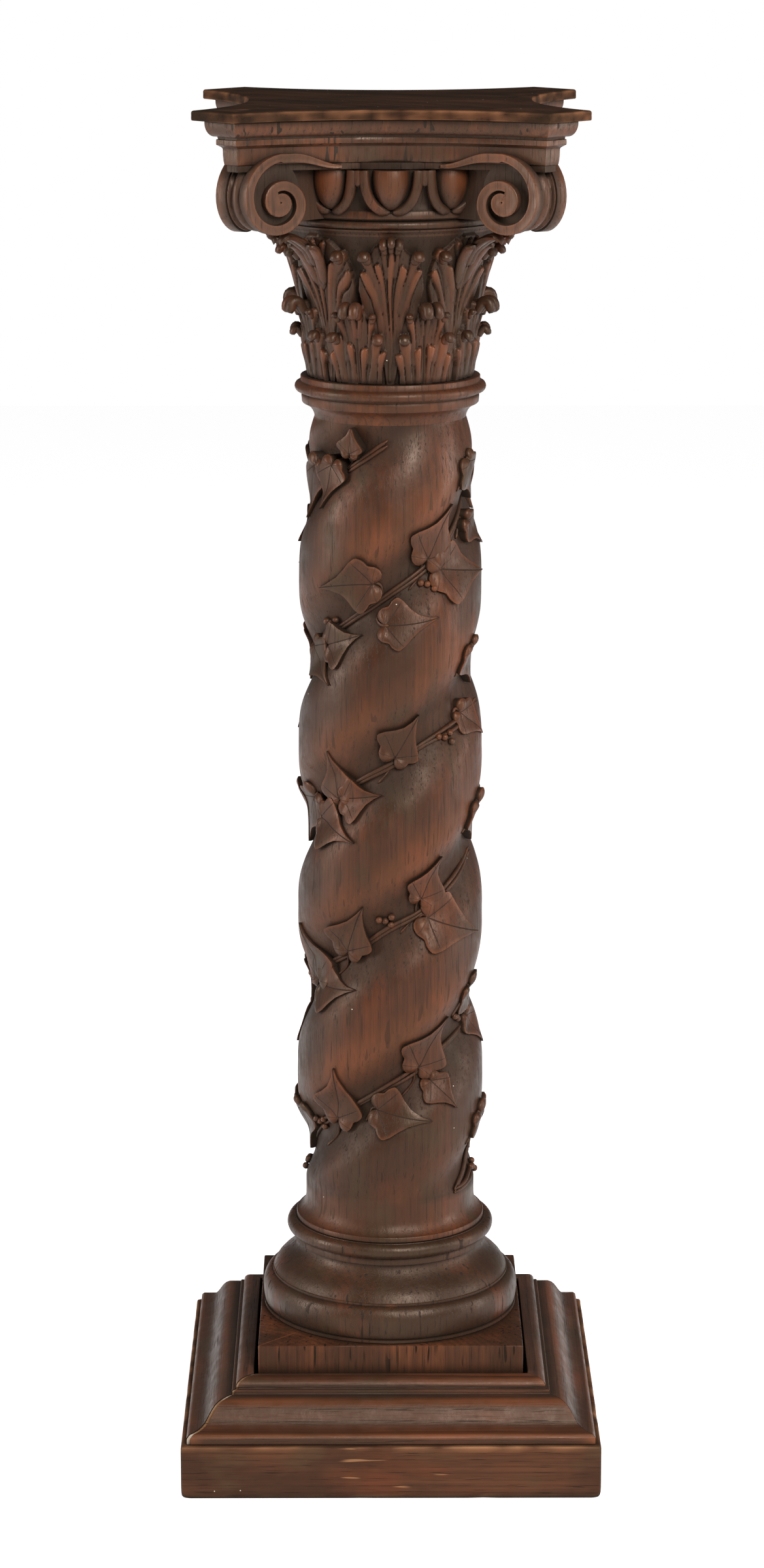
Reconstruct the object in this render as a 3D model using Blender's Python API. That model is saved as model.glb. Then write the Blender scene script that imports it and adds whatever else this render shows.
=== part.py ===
"""Carved oak pedestal.

A square block with a mitred moulding, a square plinth, a turned foot, a twisted shaft
wound with ivy, a composite capital and a moulded top with hollowed sides.
Units are metres, +Z is up, the front looks along -Y and the origin is the middle of
the underside.
"""
import math

import bmesh
import bpy
from mathutils import Matrix, Vector

# Clearance between pieces that touch
GAP = 0.0003
# Faces closer in slope than this, in degrees, are one face of the carving
FLAT_ANGLE = 6
SMOOTH_ANGLE = 35
MICRON = 1e-6

# Base block
BLOCK_WIDTH = 0.3372
BLOCK_HEIGHT = 0.0444
BLOCK_ARRIS = 0.0015

# Square plinth that stands on the block
PLINTH_WIDTH = 0.2150
PLINTH_HEIGHT = 0.0625
PLINTH_ARRIS = 0.0008

# Mitred moulding around the plinth, with a narrow slot between them
FRAME_SLOT = 0.0037
FRAME_LEDGE = 0.0045
FRAME_WIDTH = BLOCK_WIDTH - 2 * FRAME_LEDGE
FRAME_HEIGHT = 0.0403
FRAME_FLAT = 0.0073
FRAME_SHOULDER = 0.0065
FRAME_QUIRK = 0.0016
FRAME_FILLET = 0.0030
FRAME_LIP = 0.0030
FRAME_EDGE = 0.0052
FRAME_CYMA_STEPS = 7

# Turned foot, from its bottom fillet to the seat of the shaft
FOOT_SEGMENTS = 24
FOOT_FILLET_RADIUS = 0.1045
FOOT_FILLET = 0.0028
LOWER_TORUS_RADIUS = 0.1053
LOWER_TORUS = 0.0265
LOWER_TORUS_NECK = 0.0980
SCOTIA_FILLET = 0.0021
SCOTIA_FLARE_RADIUS = 0.0965
SCOTIA = 0.0265
SCOTIA_THROAT_RADIUS = 0.0765
FOOT_BAND_RADIUS = 0.0795
FOOT_BAND = 0.0060
UPPER_TORUS_RADIUS = 0.0852
UPPER_TORUS = 0.0125
UPPER_TORUS_NECK = 0.0790
# Heights in the scotia, as shares of it, at which its curve gets a point
SCOTIA_SHARES = (0.2, 0.5, 1.0)

# Shaft, from the rim of its foot to the top of its neck ring
SHAFT_HEIGHT = 0.7005
RIM_RADIUS = 0.0774
RIM_HEIGHT = 0.0042
RIM_COVE = 0.0125
RIM_COVE_BEND = 0.35
STRAIGHT_RADIUS = 0.0694
STRAIGHT_HEIGHT = 0.0160
TWIST_PITCH = 0.2750
TWIST_STARTS = 2
TWIST_FRONT_VALLEY = 0.5386
CREST_RADIUS_TOP = 0.0722
CREST_RADIUS_BOTTOM = 0.0768
VALLEY_DEPTH = 0.0160
VALLEY_SHARPNESS = 2.0
TWIST_ROWS = 40
WAIST_RADIUS = 0.0602
SHOULDER_HEIGHT = 0.1300
SHOULDER_FULLNESS = 3.9
RUNOUT_HEIGHT = 0.0750
FOOT_FADE = 0.0450
NECK_FADE = 0.0300
NECK_COVE = 0.0110
NECK_COVE_BEND = 0.80
NECK_BAND_RADIUS = 0.0700
NECK_BAND = 0.0075
NECK_TORUS_RADIUS = 0.0760
NECK_TORUS = 0.0095
NECK_FILLET_RADIUS = 0.0712
NECK_FILLET = 0.0048

# Vine and ivy in the valleys of the twist
VINE_HEIGHT = 0.0036
LEAF_THICKNESS = 0.0032
LEAF_BRIDGE_RADIUS = 0.0655
LEAF_ROOT_RADIUS = 0.0480
LEAF_DOME = 0.0016
LEAF_MIDDLE = 0.34
# One side of the leaf, as shares of its length: along its middle and across it
LEAF_HALF_OUTLINE = ((-0.13, 0.24), (0.27, 0.47), (0.50, 0.21))
# Angle round the shaft, height, the way the tip points and length, for one half of the shaft
LEAF_PLACES = (
    (240, 0.829, 82, 0.026),
    (223, 0.816, -102, 0.042),
    (330, 0.814, -57, 0.038),
    (297, 0.746, 64, 0.047),
    (309, 0.736, -8, 0.048),
    (256, 0.727, -179, 0.045),
    (267, 0.695, 1, 0.041),
    (219, 0.676, 18, 0.036),
    (203, 0.670, -42, 0.041),
    (332, 0.664, -60, 0.040),
    (331, 0.617, -42, 0.034),
    (273, 0.587, 58, 0.041),
    (229, 0.551, 100, 0.041),
    (213, 0.532, -12, 0.043),
    (338, 0.536, -60, 0.042),
    (292, 0.470, 68, 0.040),
    (297, 0.454, -26, 0.048),
    (238, 0.425, 73, 0.043),
    (209, 0.393, -1, 0.043),
    (336, 0.385, -48, 0.042),
    (291, 0.329, 64, 0.047),
    (299, 0.317, -49, 0.031),
    (229, 0.283, 80, 0.046),
    (261, 0.294, -13, 0.044),
    (188, 0.262, -60, 0.042),
)

# Capital, from the feet of its leaves to the seat of the abacus
CAPITAL_HEIGHT = 0.1739
CAPITAL_SEGMENTS = 28
BELL_FOOT_RADIUS = 0.0600
BELL_LIP_RADIUS = 0.0830
BELL_HEIGHT = 0.1195
BELL_FLARE = 2.2
ASTRAGAL_RADIUS = 0.0878
ASTRAGAL = 0.0120
ECHINUS_FILLET_RADIUS = 0.0905
ECHINUS_FILLET = 0.0048
ECHINUS = 0.0320
ECHINUS_GROUND_RADIUS = 0.0945
ECHINUS_SPRING = 0.5
# Thin slab on top of the echinus, on the plan of the abacus, that ties the volutes together
SLAB_THICKNESS = 0.0052
SLAB_INSET = 0.0205
EGG_COUNT = 12
EGG_WIDTH = 0.0220
EGG_PROUD = 0.0095
EGG_LENGTH = 0.0308
EGG_BELLY = 0.26
DART_WIDTH = 0.0110
DART_SPREAD = 0.0200
DART_PROUD = 0.0055
DART_FOOT_PROUD = 0.0015
DART_LENGTH = 0.0300
DART_SPLIT = 0.55
DART_ROOT = 0.0080

# Acanthus leaves in two tiers
LEAF_TIER_COUNT = 8
LOWER_LEAF_HEIGHT = 0.0640
LOWER_LEAF_WIDTH = 0.0490
LOWER_LEAF_LEAN = 0.0090
LOWER_LEAF_CURL = 0.0068
UPPER_LEAF_FOOT = 0.0300
UPPER_LEAF_HEIGHT = 0.1120
UPPER_LEAF_WIDTH = 0.0460
UPPER_LEAF_LEAN = 0.0040
UPPER_LEAF_CURL = 0.0062
CORNER_LEAF_LEAN = 0.0400
CORNER_LEAF_WIDTH = 0.0600
ACANTHUS_THICKNESS = 0.0060
ACANTHUS_RIB = 0.0028
# Width of the leaf up its stem and over its curl, as shares of its full width
ACANTHUS_LOBES = (0.74, 1.0, 0.86, 0.80, 0.68, 0.54, 0.26)
# Heights up the stem, as shares of it, and turns of the curl in degrees, that get a section
ACANTHUS_STEM = (0.0, 0.35, 0.68, 1.0)
ACANTHUS_CURL = (65, 125, 190)
# How far the face, the back of the stem and the back of the curl lie from the middle line,
# and how wide the back is, as shares of the thickness and of the width of the face
ACANTHUS_SEAT = 0.6
ACANTHUS_FACE = 0.15
ACANTHUS_STEM_BACK = 0.85
ACANTHUS_CURL_BACK = 0.45
ACANTHUS_BACK_WIDTH = 0.86

# Corner volutes: their faces follow the hollowed sides and splay a little towards the corner
VOLUTE_RADIUS = 0.0367
VOLUTE_TIGHTENING = 0.815
VOLUTE_RIBBON = 0.0072
VOLUTE_RELIEF = 0.0075
VOLUTE_EYE_HEIGHT = 0.1455
VOLUTE_EYE_ALONG = 0.0857
VOLUTE_EYE_HOLE = 0.0010
VOLUTE_STEM_ALONG = 0.0376
VOLUTE_STEM_WIDTH = 0.0030
# Places along the stem and the width of the ribbon there, as shares of the whole
VOLUTE_SWELL = ((0.34, 0.68), (0.68, 0.84))
VOLUTE_RISE = 1.35
# Turns in degrees of the first winding and of the solid eye, and of the roll between the faces
FIRST_WINDING = (22.5, 45, 8)
EYE_WINDING = (390, 65, 6)
ROLL_TURN = 36
VOLUTE_BITE = 0.0010
VOLUTE_STEM_INSET = 0.0165
VOLUTE_CORNER_INSET = 0.0090
VOLUTE_BAND_SINK = 0.0020
# The block behind each volute that carries it on the echinus
WEB_THICKNESS = 0.0300
WEB_REACH = 0.1350
WEB_HEIGHT = 0.0420

# Abacus moulding
ABACUS_HEIGHT = 0.0327
FASCIA_HEIGHT = 0.0130
FASCIA_INSET = 0.0190
FASCIA_HOLLOW = 0.0009
FASCIA_HOLLOW_TOP = 0.0110
COVE_HEIGHT = 0.0018
BEAD_HEIGHT = 0.0044
BEAD_INSET = 0.0142
QUIRK_INSET = 0.0152
QUIRK_HEIGHT = 0.0006
OVOLO_HEIGHT = 0.0116
OVOLO_TOP_INSET = 0.0075
OVOLO_FOOT_INSET = 0.0132
OVOLO_EDGE = 0.0015

# Top board with hollowed sides and cut corners
BOARD_WIDTH = 0.3017
BOARD_CORNER_CUT = 0.0327
BOARD_HOLLOW = 0.0398
BOARD_THICKNESS = 0.0078
BOARD_ARRIS = 0.0012
BOARD_LOWER_ARRIS = 0.00072
HOLLOW_STEPS = 6

# Heights of the seats, each worked out from the piece below
PLINTH_Z = BLOCK_HEIGHT + GAP
FRAME_Z = BLOCK_HEIGHT + GAP
FOOT_Z = PLINTH_Z + PLINTH_HEIGHT + GAP
FOOT_HEIGHT = (FOOT_FILLET + LOWER_TORUS + SCOTIA_FILLET + SCOTIA + FOOT_BAND + UPPER_TORUS)
SHAFT_Z = FOOT_Z + FOOT_HEIGHT + GAP
CAPITAL_Z = SHAFT_Z + SHAFT_HEIGHT + GAP
ABACUS_Z = CAPITAL_Z + CAPITAL_HEIGHT + GAP
BOARD_Z = ABACUS_Z + ABACUS_HEIGHT + GAP

# The plan of the top: the arc of each hollowed side
HORN = BOARD_WIDTH / 2 - BOARD_CORNER_CUT
HOLLOW_RADIUS = (HORN ** 2 + BOARD_HOLLOW ** 2) / (2 * BOARD_HOLLOW)
HOLLOW_CENTRE = BOARD_WIDTH / 2 - BOARD_HOLLOW + HOLLOW_RADIUS

OAK_DARK = (0.055, 0.028, 0.019)
OAK_RED = (0.110, 0.045, 0.026)
OAK_BROWN = (0.085, 0.042, 0.026)


def oak(name, colour, roughness):
    """A waxed oak finish for one piece."""
    material = bpy.data.materials.new(name)
    material.use_nodes = True
    shader = material.node_tree.nodes["Principled BSDF"]
    shader.inputs["Base Color"].default_value = (*colour, 1.0)
    shader.inputs["Roughness"].default_value = roughness
    shader.inputs["Metallic"].default_value = 0.0
    return material


def make_object(name, bm, colour=OAK_BROWN, roughness=0.4, smooth=SMOOTH_ANGLE):
    """Turn a bmesh into a named object with its own finish."""
    bmesh.ops.recalc_face_normals(bm, faces=bm.faces)
    mesh = bpy.data.meshes.new(name)
    bm.to_mesh(mesh)
    bm.free()
    mesh.materials.append(oak(name + "_oak", colour, roughness))
    if smooth:
        mesh.shade_smooth()
        mesh.set_sharp_from_angle(angle=math.radians(smooth))
    thing = bpy.data.objects.new(name, mesh)
    bpy.context.scene.collection.objects.link(thing)
    return thing


def add_loft(bm, rings, twisted=False):
    """Skin a row of rings of equal count and close both ends.

    Where each ring is turned against the last, its quads are cut along their upright diagonal.
    """
    rows = [[bm.verts.new(point) for point in ring] for ring in rings]
    count = len(rows[0])
    for low, high in zip(rows, rows[1:]):
        for i in range(count):
            j = (i + 1) % count
            if twisted:
                bm.faces.new((low[i], low[j], high[i]))
                bm.faces.new((low[j], high[j], high[i]))
            else:
                bm.faces.new((low[i], low[j], high[j], high[i]))
    bm.faces.new(list(reversed(rows[0])))
    bm.faces.new(rows[-1])


def ring(radius, z, count):
    """A level circle of points."""
    return [Vector((radius * math.cos(i * math.tau / count),
                    radius * math.sin(i * math.tau / count), z)) for i in range(count)]


def lathe(profile, count):
    """A turned solid from (radius, height) pairs given from the bottom up."""
    bm = bmesh.new()
    add_loft(bm, [ring(radius, z, count) for radius, z in profile])
    return bm


def bulge(neck, crest, z, height, steps):
    """Points of a torus moulding, from its lower edge to its upper edge."""
    points = []
    for i in range(steps + 1):
        swing = math.pi * i / steps
        radius = neck + (crest - neck) * math.sin(swing)
        points.append((radius, z + height * (1 - math.cos(swing)) / 2))
    return points


def block():
    bm = bmesh.new()
    size = (BLOCK_WIDTH, BLOCK_WIDTH, BLOCK_HEIGHT)
    place = Matrix.Translation((0, 0, BLOCK_HEIGHT / 2)) @ Matrix.Diagonal((*size, 1))
    bmesh.ops.create_cube(bm, size=1, matrix=place)
    bmesh.ops.bevel(bm, geom=bm.edges[:], offset=BLOCK_ARRIS, segments=1, profile=0.5,
                    affect="EDGES", material=-1)
    make_object("base_block", bm, OAK_RED, 0.42, smooth=0)


def plinth():
    bm = bmesh.new()
    size = (PLINTH_WIDTH, PLINTH_WIDTH, PLINTH_HEIGHT)
    place = (Matrix.Translation((0, 0, PLINTH_Z + PLINTH_HEIGHT / 2))
             @ Matrix.Diagonal((*size, 1)))
    bmesh.ops.create_cube(bm, size=1, matrix=place)
    bmesh.ops.bevel(bm, geom=bm.edges[:], offset=PLINTH_ARRIS, segments=1, profile=0.5,
                    affect="EDGES", material=-1)
    make_object("square_plinth", bm, OAK_BROWN, 0.42, smooth=0)


def frame_profile():
    """Section of the moulding: distance from the middle and height, outer side last."""
    inner = PLINTH_WIDTH / 2 + FRAME_SLOT
    outer = FRAME_WIDTH / 2
    bottom = FRAME_Z
    top = FRAME_Z + FRAME_HEIGHT
    points = [(inner, bottom), (inner, top), (inner + FRAME_FLAT, top)]
    out = inner + FRAME_FLAT
    drop = top
    for i in (1, 2, 3):
        swing = math.radians(30 * i)
        points.append((out + FRAME_SHOULDER * math.sin(swing),
                       drop - FRAME_SHOULDER * (1 - math.cos(swing))))
    out += FRAME_SHOULDER
    drop -= FRAME_SHOULDER
    points.append((out, drop - FRAME_QUIRK))
    points.append((out + FRAME_FILLET, drop - FRAME_QUIRK))
    points.append((out + FRAME_FILLET, drop - FRAME_QUIRK - FRAME_FILLET))
    start = (out + FRAME_FILLET, drop - FRAME_QUIRK - FRAME_FILLET)
    end = (outer - FRAME_LIP, bottom + FRAME_EDGE + FRAME_LIP)
    for i in range(1, FRAME_CYMA_STEPS + 1):
        share = i / FRAME_CYMA_STEPS
        fall = (1 - math.cos(math.pi * share)) / 2
        points.append((start[0] + (end[0] - start[0]) * share,
                       start[1] + (end[1] - start[1]) * fall))
    points.append((outer, bottom + FRAME_EDGE))
    points.append((outer, bottom))
    return points


def frame_strips():
    """Four mitred lengths of moulding, each turned a quarter from the last."""
    profile = frame_profile()
    mitre = GAP / math.sqrt(2)
    for quarter, name in enumerate(("moulding_front", "moulding_right",
                                    "moulding_back", "moulding_left")):
        bm = bmesh.new()
        left = [Vector((-(out - mitre), -out, z)) for out, z in profile]
        right = [Vector((out - mitre, -out, z)) for out, z in profile]
        add_loft(bm, [left, right])
        bmesh.ops.transform(bm, matrix=Matrix.Rotation(quarter * math.pi / 2, 4, "Z"),
                            verts=bm.verts)
        make_object(name, bm, OAK_BROWN, 0.38)


def foot():
    z = FOOT_Z
    profile = [(FOOT_FILLET_RADIUS, z), (FOOT_FILLET_RADIUS, z + FOOT_FILLET)]
    z += FOOT_FILLET
    profile += bulge(LOWER_TORUS_NECK, LOWER_TORUS_RADIUS, z, LOWER_TORUS, 4)
    z += LOWER_TORUS
    profile.append((SCOTIA_FLARE_RADIUS, z))
    z += SCOTIA_FILLET
    profile.append((SCOTIA_FLARE_RADIUS, z))
    for share in SCOTIA_SHARES:
        flare = (1 - share) ** 2
        radius = SCOTIA_THROAT_RADIUS + (SCOTIA_FLARE_RADIUS - SCOTIA_THROAT_RADIUS) * flare
        profile.append((radius, z + SCOTIA * share))
    z += SCOTIA
    profile += [(FOOT_BAND_RADIUS, z), (FOOT_BAND_RADIUS, z + FOOT_BAND)]
    z += FOOT_BAND
    profile += bulge(UPPER_TORUS_NECK, UPPER_TORUS_RADIUS, z, UPPER_TORUS, 4)
    keep = [profile[0]]
    for radius, height in profile[1:]:
        if (radius, height) != keep[-1]:
            keep.append((radius, height))
    make_object("turned_foot", lathe(keep, FOOT_SEGMENTS), OAK_BROWN, 0.36)


def valley_angle(z):
    """Angle of the first valley at a height, so that one faces the front where named."""
    front = math.radians(270)
    return front + math.tau * (z - SHAFT_Z - TWIST_FRONT_VALLEY) / TWIST_PITCH


TWIST_LOW = SHAFT_Z + RIM_HEIGHT + RIM_COVE + STRAIGHT_HEIGHT
NECK_TOTAL = NECK_COVE + NECK_BAND + NECK_TORUS + NECK_FILLET
TWIST_HIGH = SHAFT_Z + SHAFT_HEIGHT - NECK_TOTAL


def crest_radius(z):
    """Radius over the ridges: a straight taper, drawn in at the neck and the foot."""
    share = (z - TWIST_LOW) / (TWIST_HIGH - TWIST_LOW)
    radius = CREST_RADIUS_BOTTOM + (CREST_RADIUS_TOP - CREST_RADIUS_BOTTOM) * share
    below_neck = min(1.0, (TWIST_HIGH - z) / SHOULDER_HEIGHT)
    radius -= (radius - WAIST_RADIUS) * (1 - below_neck) ** SHOULDER_FULLNESS
    above_foot = min(1.0, (z - TWIST_LOW) / RUNOUT_HEIGHT)
    radius -= (radius - STRAIGHT_RADIUS) * (1 - above_foot) ** 2
    return radius


def valley_depth(z):
    """Depth of the valleys, run out at both ends."""
    ease = min(1.0, (z - TWIST_LOW) / FOOT_FADE, (TWIST_HIGH - z) / NECK_FADE)
    return VALLEY_DEPTH * math.sin(math.pi / 2 * max(0.0, ease))


def twist_radius(z, off_valley):
    """Radius of the twist at an angle measured from the middle of a valley."""
    hollow = ((1 + math.cos(TWIST_STARTS * off_valley)) / 2) ** VALLEY_SHARPNESS
    return crest_radius(z) - valley_depth(z) * hollow


def column_angles():
    """Angles round one ring, from valley to valley: the vine stands on the first of each set."""
    step = math.tau / TWIST_STARTS
    shares = (0.0, 0.13, 0.25, 0.38, 0.5, 0.62, 0.75, 0.87)
    return [(start + share) * step for start in range(TWIST_STARTS) for share in shares]


def shaft_rings():
    """Level rings of the shaft, turned with the twist."""
    columns = column_angles()

    def round_ring(radius, z):
        lead = valley_angle(min(max(z, TWIST_LOW), TWIST_HIGH))
        return [Vector((radius * math.cos(lead + turn), radius * math.sin(lead + turn), z))
                for turn in columns]

    rings = [round_ring(RIM_RADIUS, SHAFT_Z), round_ring(RIM_RADIUS, SHAFT_Z + RIM_HEIGHT)]
    base = SHAFT_Z + RIM_HEIGHT
    for share in (RIM_COVE_BEND, 1.0):
        flare = (1 - share) ** 2
        rings.append(round_ring(STRAIGHT_RADIUS + (RIM_RADIUS - STRAIGHT_RADIUS) * flare,
                                base + RIM_COVE * share))
    for row in range(TWIST_ROWS + 1):
        z = TWIST_LOW + (TWIST_HIGH - TWIST_LOW) * row / TWIST_ROWS
        lead = valley_angle(z)
        points = []
        for turn in columns:
            radius = twist_radius(z, turn)
            if len(points) % (len(columns) // TWIST_STARTS) == 0:
                radius += VINE_HEIGHT * valley_depth(z) / VALLEY_DEPTH
            points.append(Vector((radius * math.cos(lead + turn),
                                  radius * math.sin(lead + turn), z)))
        rings.append(points)
    z = TWIST_HIGH
    rings.append(round_ring((WAIST_RADIUS + NECK_BAND_RADIUS) / 2, z + NECK_COVE * NECK_COVE_BEND))
    z += NECK_COVE
    rings.append(round_ring(NECK_BAND_RADIUS, z))
    z += NECK_BAND
    rings.append(round_ring(NECK_BAND_RADIUS, z))
    for radius, height in bulge(NECK_FILLET_RADIUS, NECK_TORUS_RADIUS, z, NECK_TORUS, 3)[1:]:
        rings.append(round_ring(radius, height))
    z += NECK_TORUS
    rings.append(round_ring(NECK_FILLET_RADIUS, z + NECK_FILLET))
    return rings


def surface_radius(angle, z):
    return twist_radius(z, angle - valley_angle(z))


def ivy_leaf(bm, angle, height, heading, length):
    """One leaf: a domed face that stands proud of the valley, undercut to a root inside it."""
    outline = [(0.0, 0.0)] + list(LEAF_HALF_OUTLINE) + [(1.0, 0.0)]
    outline += [(along, -across) for along, across in reversed(LEAF_HALF_OUTLINE)]
    way = Vector((math.cos(math.radians(heading)), math.sin(math.radians(heading))))
    side = Vector((-way.y, way.x))

    def spot(along, across, lift):
        shift = (way * along + side * across) * length
        turn = math.radians(angle) + shift.x / LEAF_BRIDGE_RADIUS
        z = min(max(height + shift.y, TWIST_LOW), TWIST_HIGH)
        radius = LEAF_ROOT_RADIUS
        if lift is not None:
            radius = max(surface_radius(turn, z) + LEAF_THICKNESS, LEAF_BRIDGE_RADIUS) + lift
        return Vector((radius * math.cos(turn), radius * math.sin(turn), z))

    face = [bm.verts.new(spot(along, across, 0.0)) for along, across in outline]
    middle = bm.verts.new(spot(LEAF_MIDDLE, 0.0, LEAF_DOME))
    root = bm.verts.new(spot(LEAF_MIDDLE, 0.0, None))
    for i, corner in enumerate(face):
        following = face[(i + 1) % len(face)]
        bm.faces.new((corner, following, middle))
        bm.faces.new((following, corner, root))


def hidden_operand(name, bm, group):
    """A body that a Boolean adds to another, kept out of the model itself."""
    bmesh.ops.recalc_face_normals(bm, faces=bm.faces)
    mesh = bpy.data.meshes.new(name)
    bm.to_mesh(mesh)
    bm.free()
    thing = bpy.data.objects.new(name, mesh)
    thing.hide_render = True
    thing.display_type = "WIRE"
    group.objects.link(thing)
    return thing


def new_group(name):
    group = bpy.data.collections.new(name)
    bpy.context.scene.collection.children.link(group)
    return group


def union_with(thing, group):
    joiner = thing.modifiers.new("carving", "BOOLEAN")
    joiner.operation = "UNION"
    joiner.operand_type = "COLLECTION"
    joiner.collection = group
    joiner.solver = "EXACT"


def place_of(*verts):
    """Where corners lie, in whole microns, to put them in a fixed order."""
    return sorted(tuple(round(value / MICRON) for value in vert.co) for vert in verts)


def set_order(bm):
    """Number corners, edges and faces by where they lie.

    A Boolean gives them in any order, and what is merged first depends on that order."""
    for parts, corners in ((bm.verts, lambda vert: (vert,)), (bm.edges, lambda edge: edge.verts),
                           (bm.faces, lambda face: face.verts)):
        ranked = sorted(parts, key=lambda part: place_of(*corners(part)))
        for number, part in enumerate(ranked):
            part.index = number
        parts.sort()


def merge_flats(thing):
    """Join the nearly flat scraps that the Booleans leave beside their cuts."""
    graph = bpy.context.evaluated_depsgraph_get()
    cut = bpy.data.meshes.new_from_object(thing.evaluated_get(graph))
    bm = bmesh.new()
    bm.from_mesh(cut)
    set_order(bm)
    bmesh.ops.dissolve_limit(bm, angle_limit=math.radians(FLAT_ANGLE), verts=bm.verts,
                             edges=bm.edges, use_dissolve_boundaries=False)
    set_order(bm)
    # Each face starts at its first corner, so that it is cut into the same triangles each time
    faces = []
    for face in bm.faces:
        numbers = [vert.index for vert in face.verts]
        first = numbers.index(min(numbers))
        faces.append(numbers[first:] + numbers[:first])
    mesh = thing.data
    thing.modifiers.clear()
    corners = [vert.co.copy() for vert in bm.verts]
    mesh.clear_geometry()
    mesh.from_pydata(corners, [], faces)
    mesh.shade_smooth()
    mesh.set_sharp_from_angle(angle=math.radians(SMOOTH_ANGLE))
    bm.free()
    bpy.data.meshes.remove(cut)


def shaft():
    bm = bmesh.new()
    add_loft(bm, shaft_rings(), twisted=True)
    body = make_object("twisted_shaft", bm, OAK_RED, 0.36)
    ivy = new_group("ivy")
    for number, (angle, height, heading, length) in enumerate(LEAF_PLACES):
        for half_turn in (0, 180):
            bm = bmesh.new()
            ivy_leaf(bm, angle + half_turn, height, heading, length)
            hidden_operand(f"ivy_{number}_{half_turn}", bm, ivy)
    union_with(body, ivy)
    merge_flats(body)


def bell_radius(z):
    """Radius of the bell behind the leaves, at a height above the capital's foot."""
    share = min(1.0, max(0.0, z / BELL_HEIGHT))
    return BELL_FOOT_RADIUS + (BELL_LIP_RADIUS - BELL_FOOT_RADIUS) * share ** BELL_FLARE


def capital_core():
    profile = [(bell_radius(BELL_HEIGHT * i / 4), BELL_HEIGHT * i / 4) for i in range(5)]
    z = BELL_HEIGHT
    profile += bulge(BELL_LIP_RADIUS, ASTRAGAL_RADIUS, z, ASTRAGAL, 3)[1:]
    z += ASTRAGAL
    profile += [(ECHINUS_FILLET_RADIUS, z), (ECHINUS_FILLET_RADIUS, z + ECHINUS_FILLET)]
    z += ECHINUS_FILLET
    profile += [(ECHINUS_GROUND_RADIUS, z + ECHINUS * ECHINUS_SPRING),
                (ECHINUS_GROUND_RADIUS, CAPITAL_HEIGHT)]
    return lathe([(radius, CAPITAL_Z + z) for radius, z in profile], CAPITAL_SEGMENTS)


def acanthus(angle, foot, height, width, lean, curl):
    """One leaf of the bell: it climbs the bell, leans out and curls over at its tip."""
    stem = []
    for share in ACANTHUS_STEM:
        z = foot + (height - foot) * share
        radius = bell_radius(z) + ACANTHUS_THICKNESS * ACANTHUS_SEAT + lean * share ** 3
        stem.append((radius, z, 0.0))
    middle = (stem[-1][0] + curl, stem[-1][1])
    for swing in ACANTHUS_CURL:
        turn = math.radians(180 - swing)
        stem.append((middle[0] + curl * math.cos(turn), middle[1] + curl * math.sin(turn), swing))
    bm = bmesh.new()
    rings = []
    for (radius, z, swing), lobe in zip(stem, ACANTHUS_LOBES):
        half = width * lobe / 2
        tilt = math.radians(swing)
        out = Vector((math.cos(tilt), -math.sin(tilt)))
        spine = Vector((radius, z))
        edge = spine + out * ACANTHUS_THICKNESS * ACANTHUS_FACE
        rib = edge + out * ACANTHUS_RIB
        depth = ACANTHUS_STEM_BACK if swing == 0 else ACANTHUS_CURL_BACK
        back = spine - out * ACANTHUS_THICKNESS * depth
        section = []
        for place, across in ((edge, -1), (rib, 0), (edge, 1), (back, ACANTHUS_BACK_WIDTH),
                              (back, -ACANTHUS_BACK_WIDTH)):
            turn = math.radians(angle) + across * half / radius
            section.append(Vector((place.x * math.cos(turn), place.x * math.sin(turn),
                                   CAPITAL_Z + place.y)))
        rings.append(section)
    add_loft(bm, rings)
    return bm


def egg(number):
    """One egg of the echinus, cut flat at its top."""
    top = BELL_HEIGHT + ASTRAGAL + ECHINUS_FILLET + ECHINUS
    belly = top - EGG_LENGTH * EGG_BELLY
    turn = math.radians(270 + number * 360 / EGG_COUNT)
    bm = bmesh.new()
    bmesh.ops.create_uvsphere(bm, u_segments=6, v_segments=5, radius=1)
    size = (EGG_PROUD, EGG_WIDTH / 2, EGG_LENGTH * (1 - EGG_BELLY))
    place = (Matrix.Rotation(turn, 4, "Z")
             @ Matrix.Translation((ECHINUS_GROUND_RADIUS, 0, CAPITAL_Z + belly))
             @ Matrix.Diagonal((*size, 1)))
    bmesh.ops.transform(bm, matrix=place, verts=bm.verts)
    cut = bmesh.ops.bisect_plane(bm, geom=bm.verts[:] + bm.edges[:] + bm.faces[:],
                                 plane_co=(0, 0, CAPITAL_Z + top), plane_no=(0, 0, 1),
                                 clear_outer=True)
    rim = [item for item in cut["geom_cut"] if isinstance(item, bmesh.types.BMEdge)]
    bmesh.ops.holes_fill(bm, edges=rim)
    return bm


def dart(number):
    """The strap between two eggs, narrow at its top and spread at its foot."""
    top = CAPITAL_Z + BELL_HEIGHT + ASTRAGAL + ECHINUS_FILLET + ECHINUS
    turn = math.radians(270 + (number + 0.5) * 360 / EGG_COUNT)
    proud = ECHINUS_GROUND_RADIUS + DART_PROUD
    inner = ECHINUS_FILLET_RADIUS - DART_ROOT
    rings = []
    for drop, width, outer in ((DART_LENGTH, DART_SPREAD, ECHINUS_FILLET_RADIUS + DART_FOOT_PROUD),
                               (DART_LENGTH * DART_SPLIT, DART_WIDTH, proud),
                               (0.0, DART_WIDTH, proud)):
        half = width / 2
        rings.append([Vector((inner, -half, top - drop)), Vector((outer, -half, top - drop)),
                      Vector((outer, half, top - drop)), Vector((inner, half, top - drop))])
    bm = bmesh.new()
    add_loft(bm, rings)
    bmesh.ops.transform(bm, matrix=Matrix.Rotation(turn, 4, "Z"), verts=bm.verts)
    return bm


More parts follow.
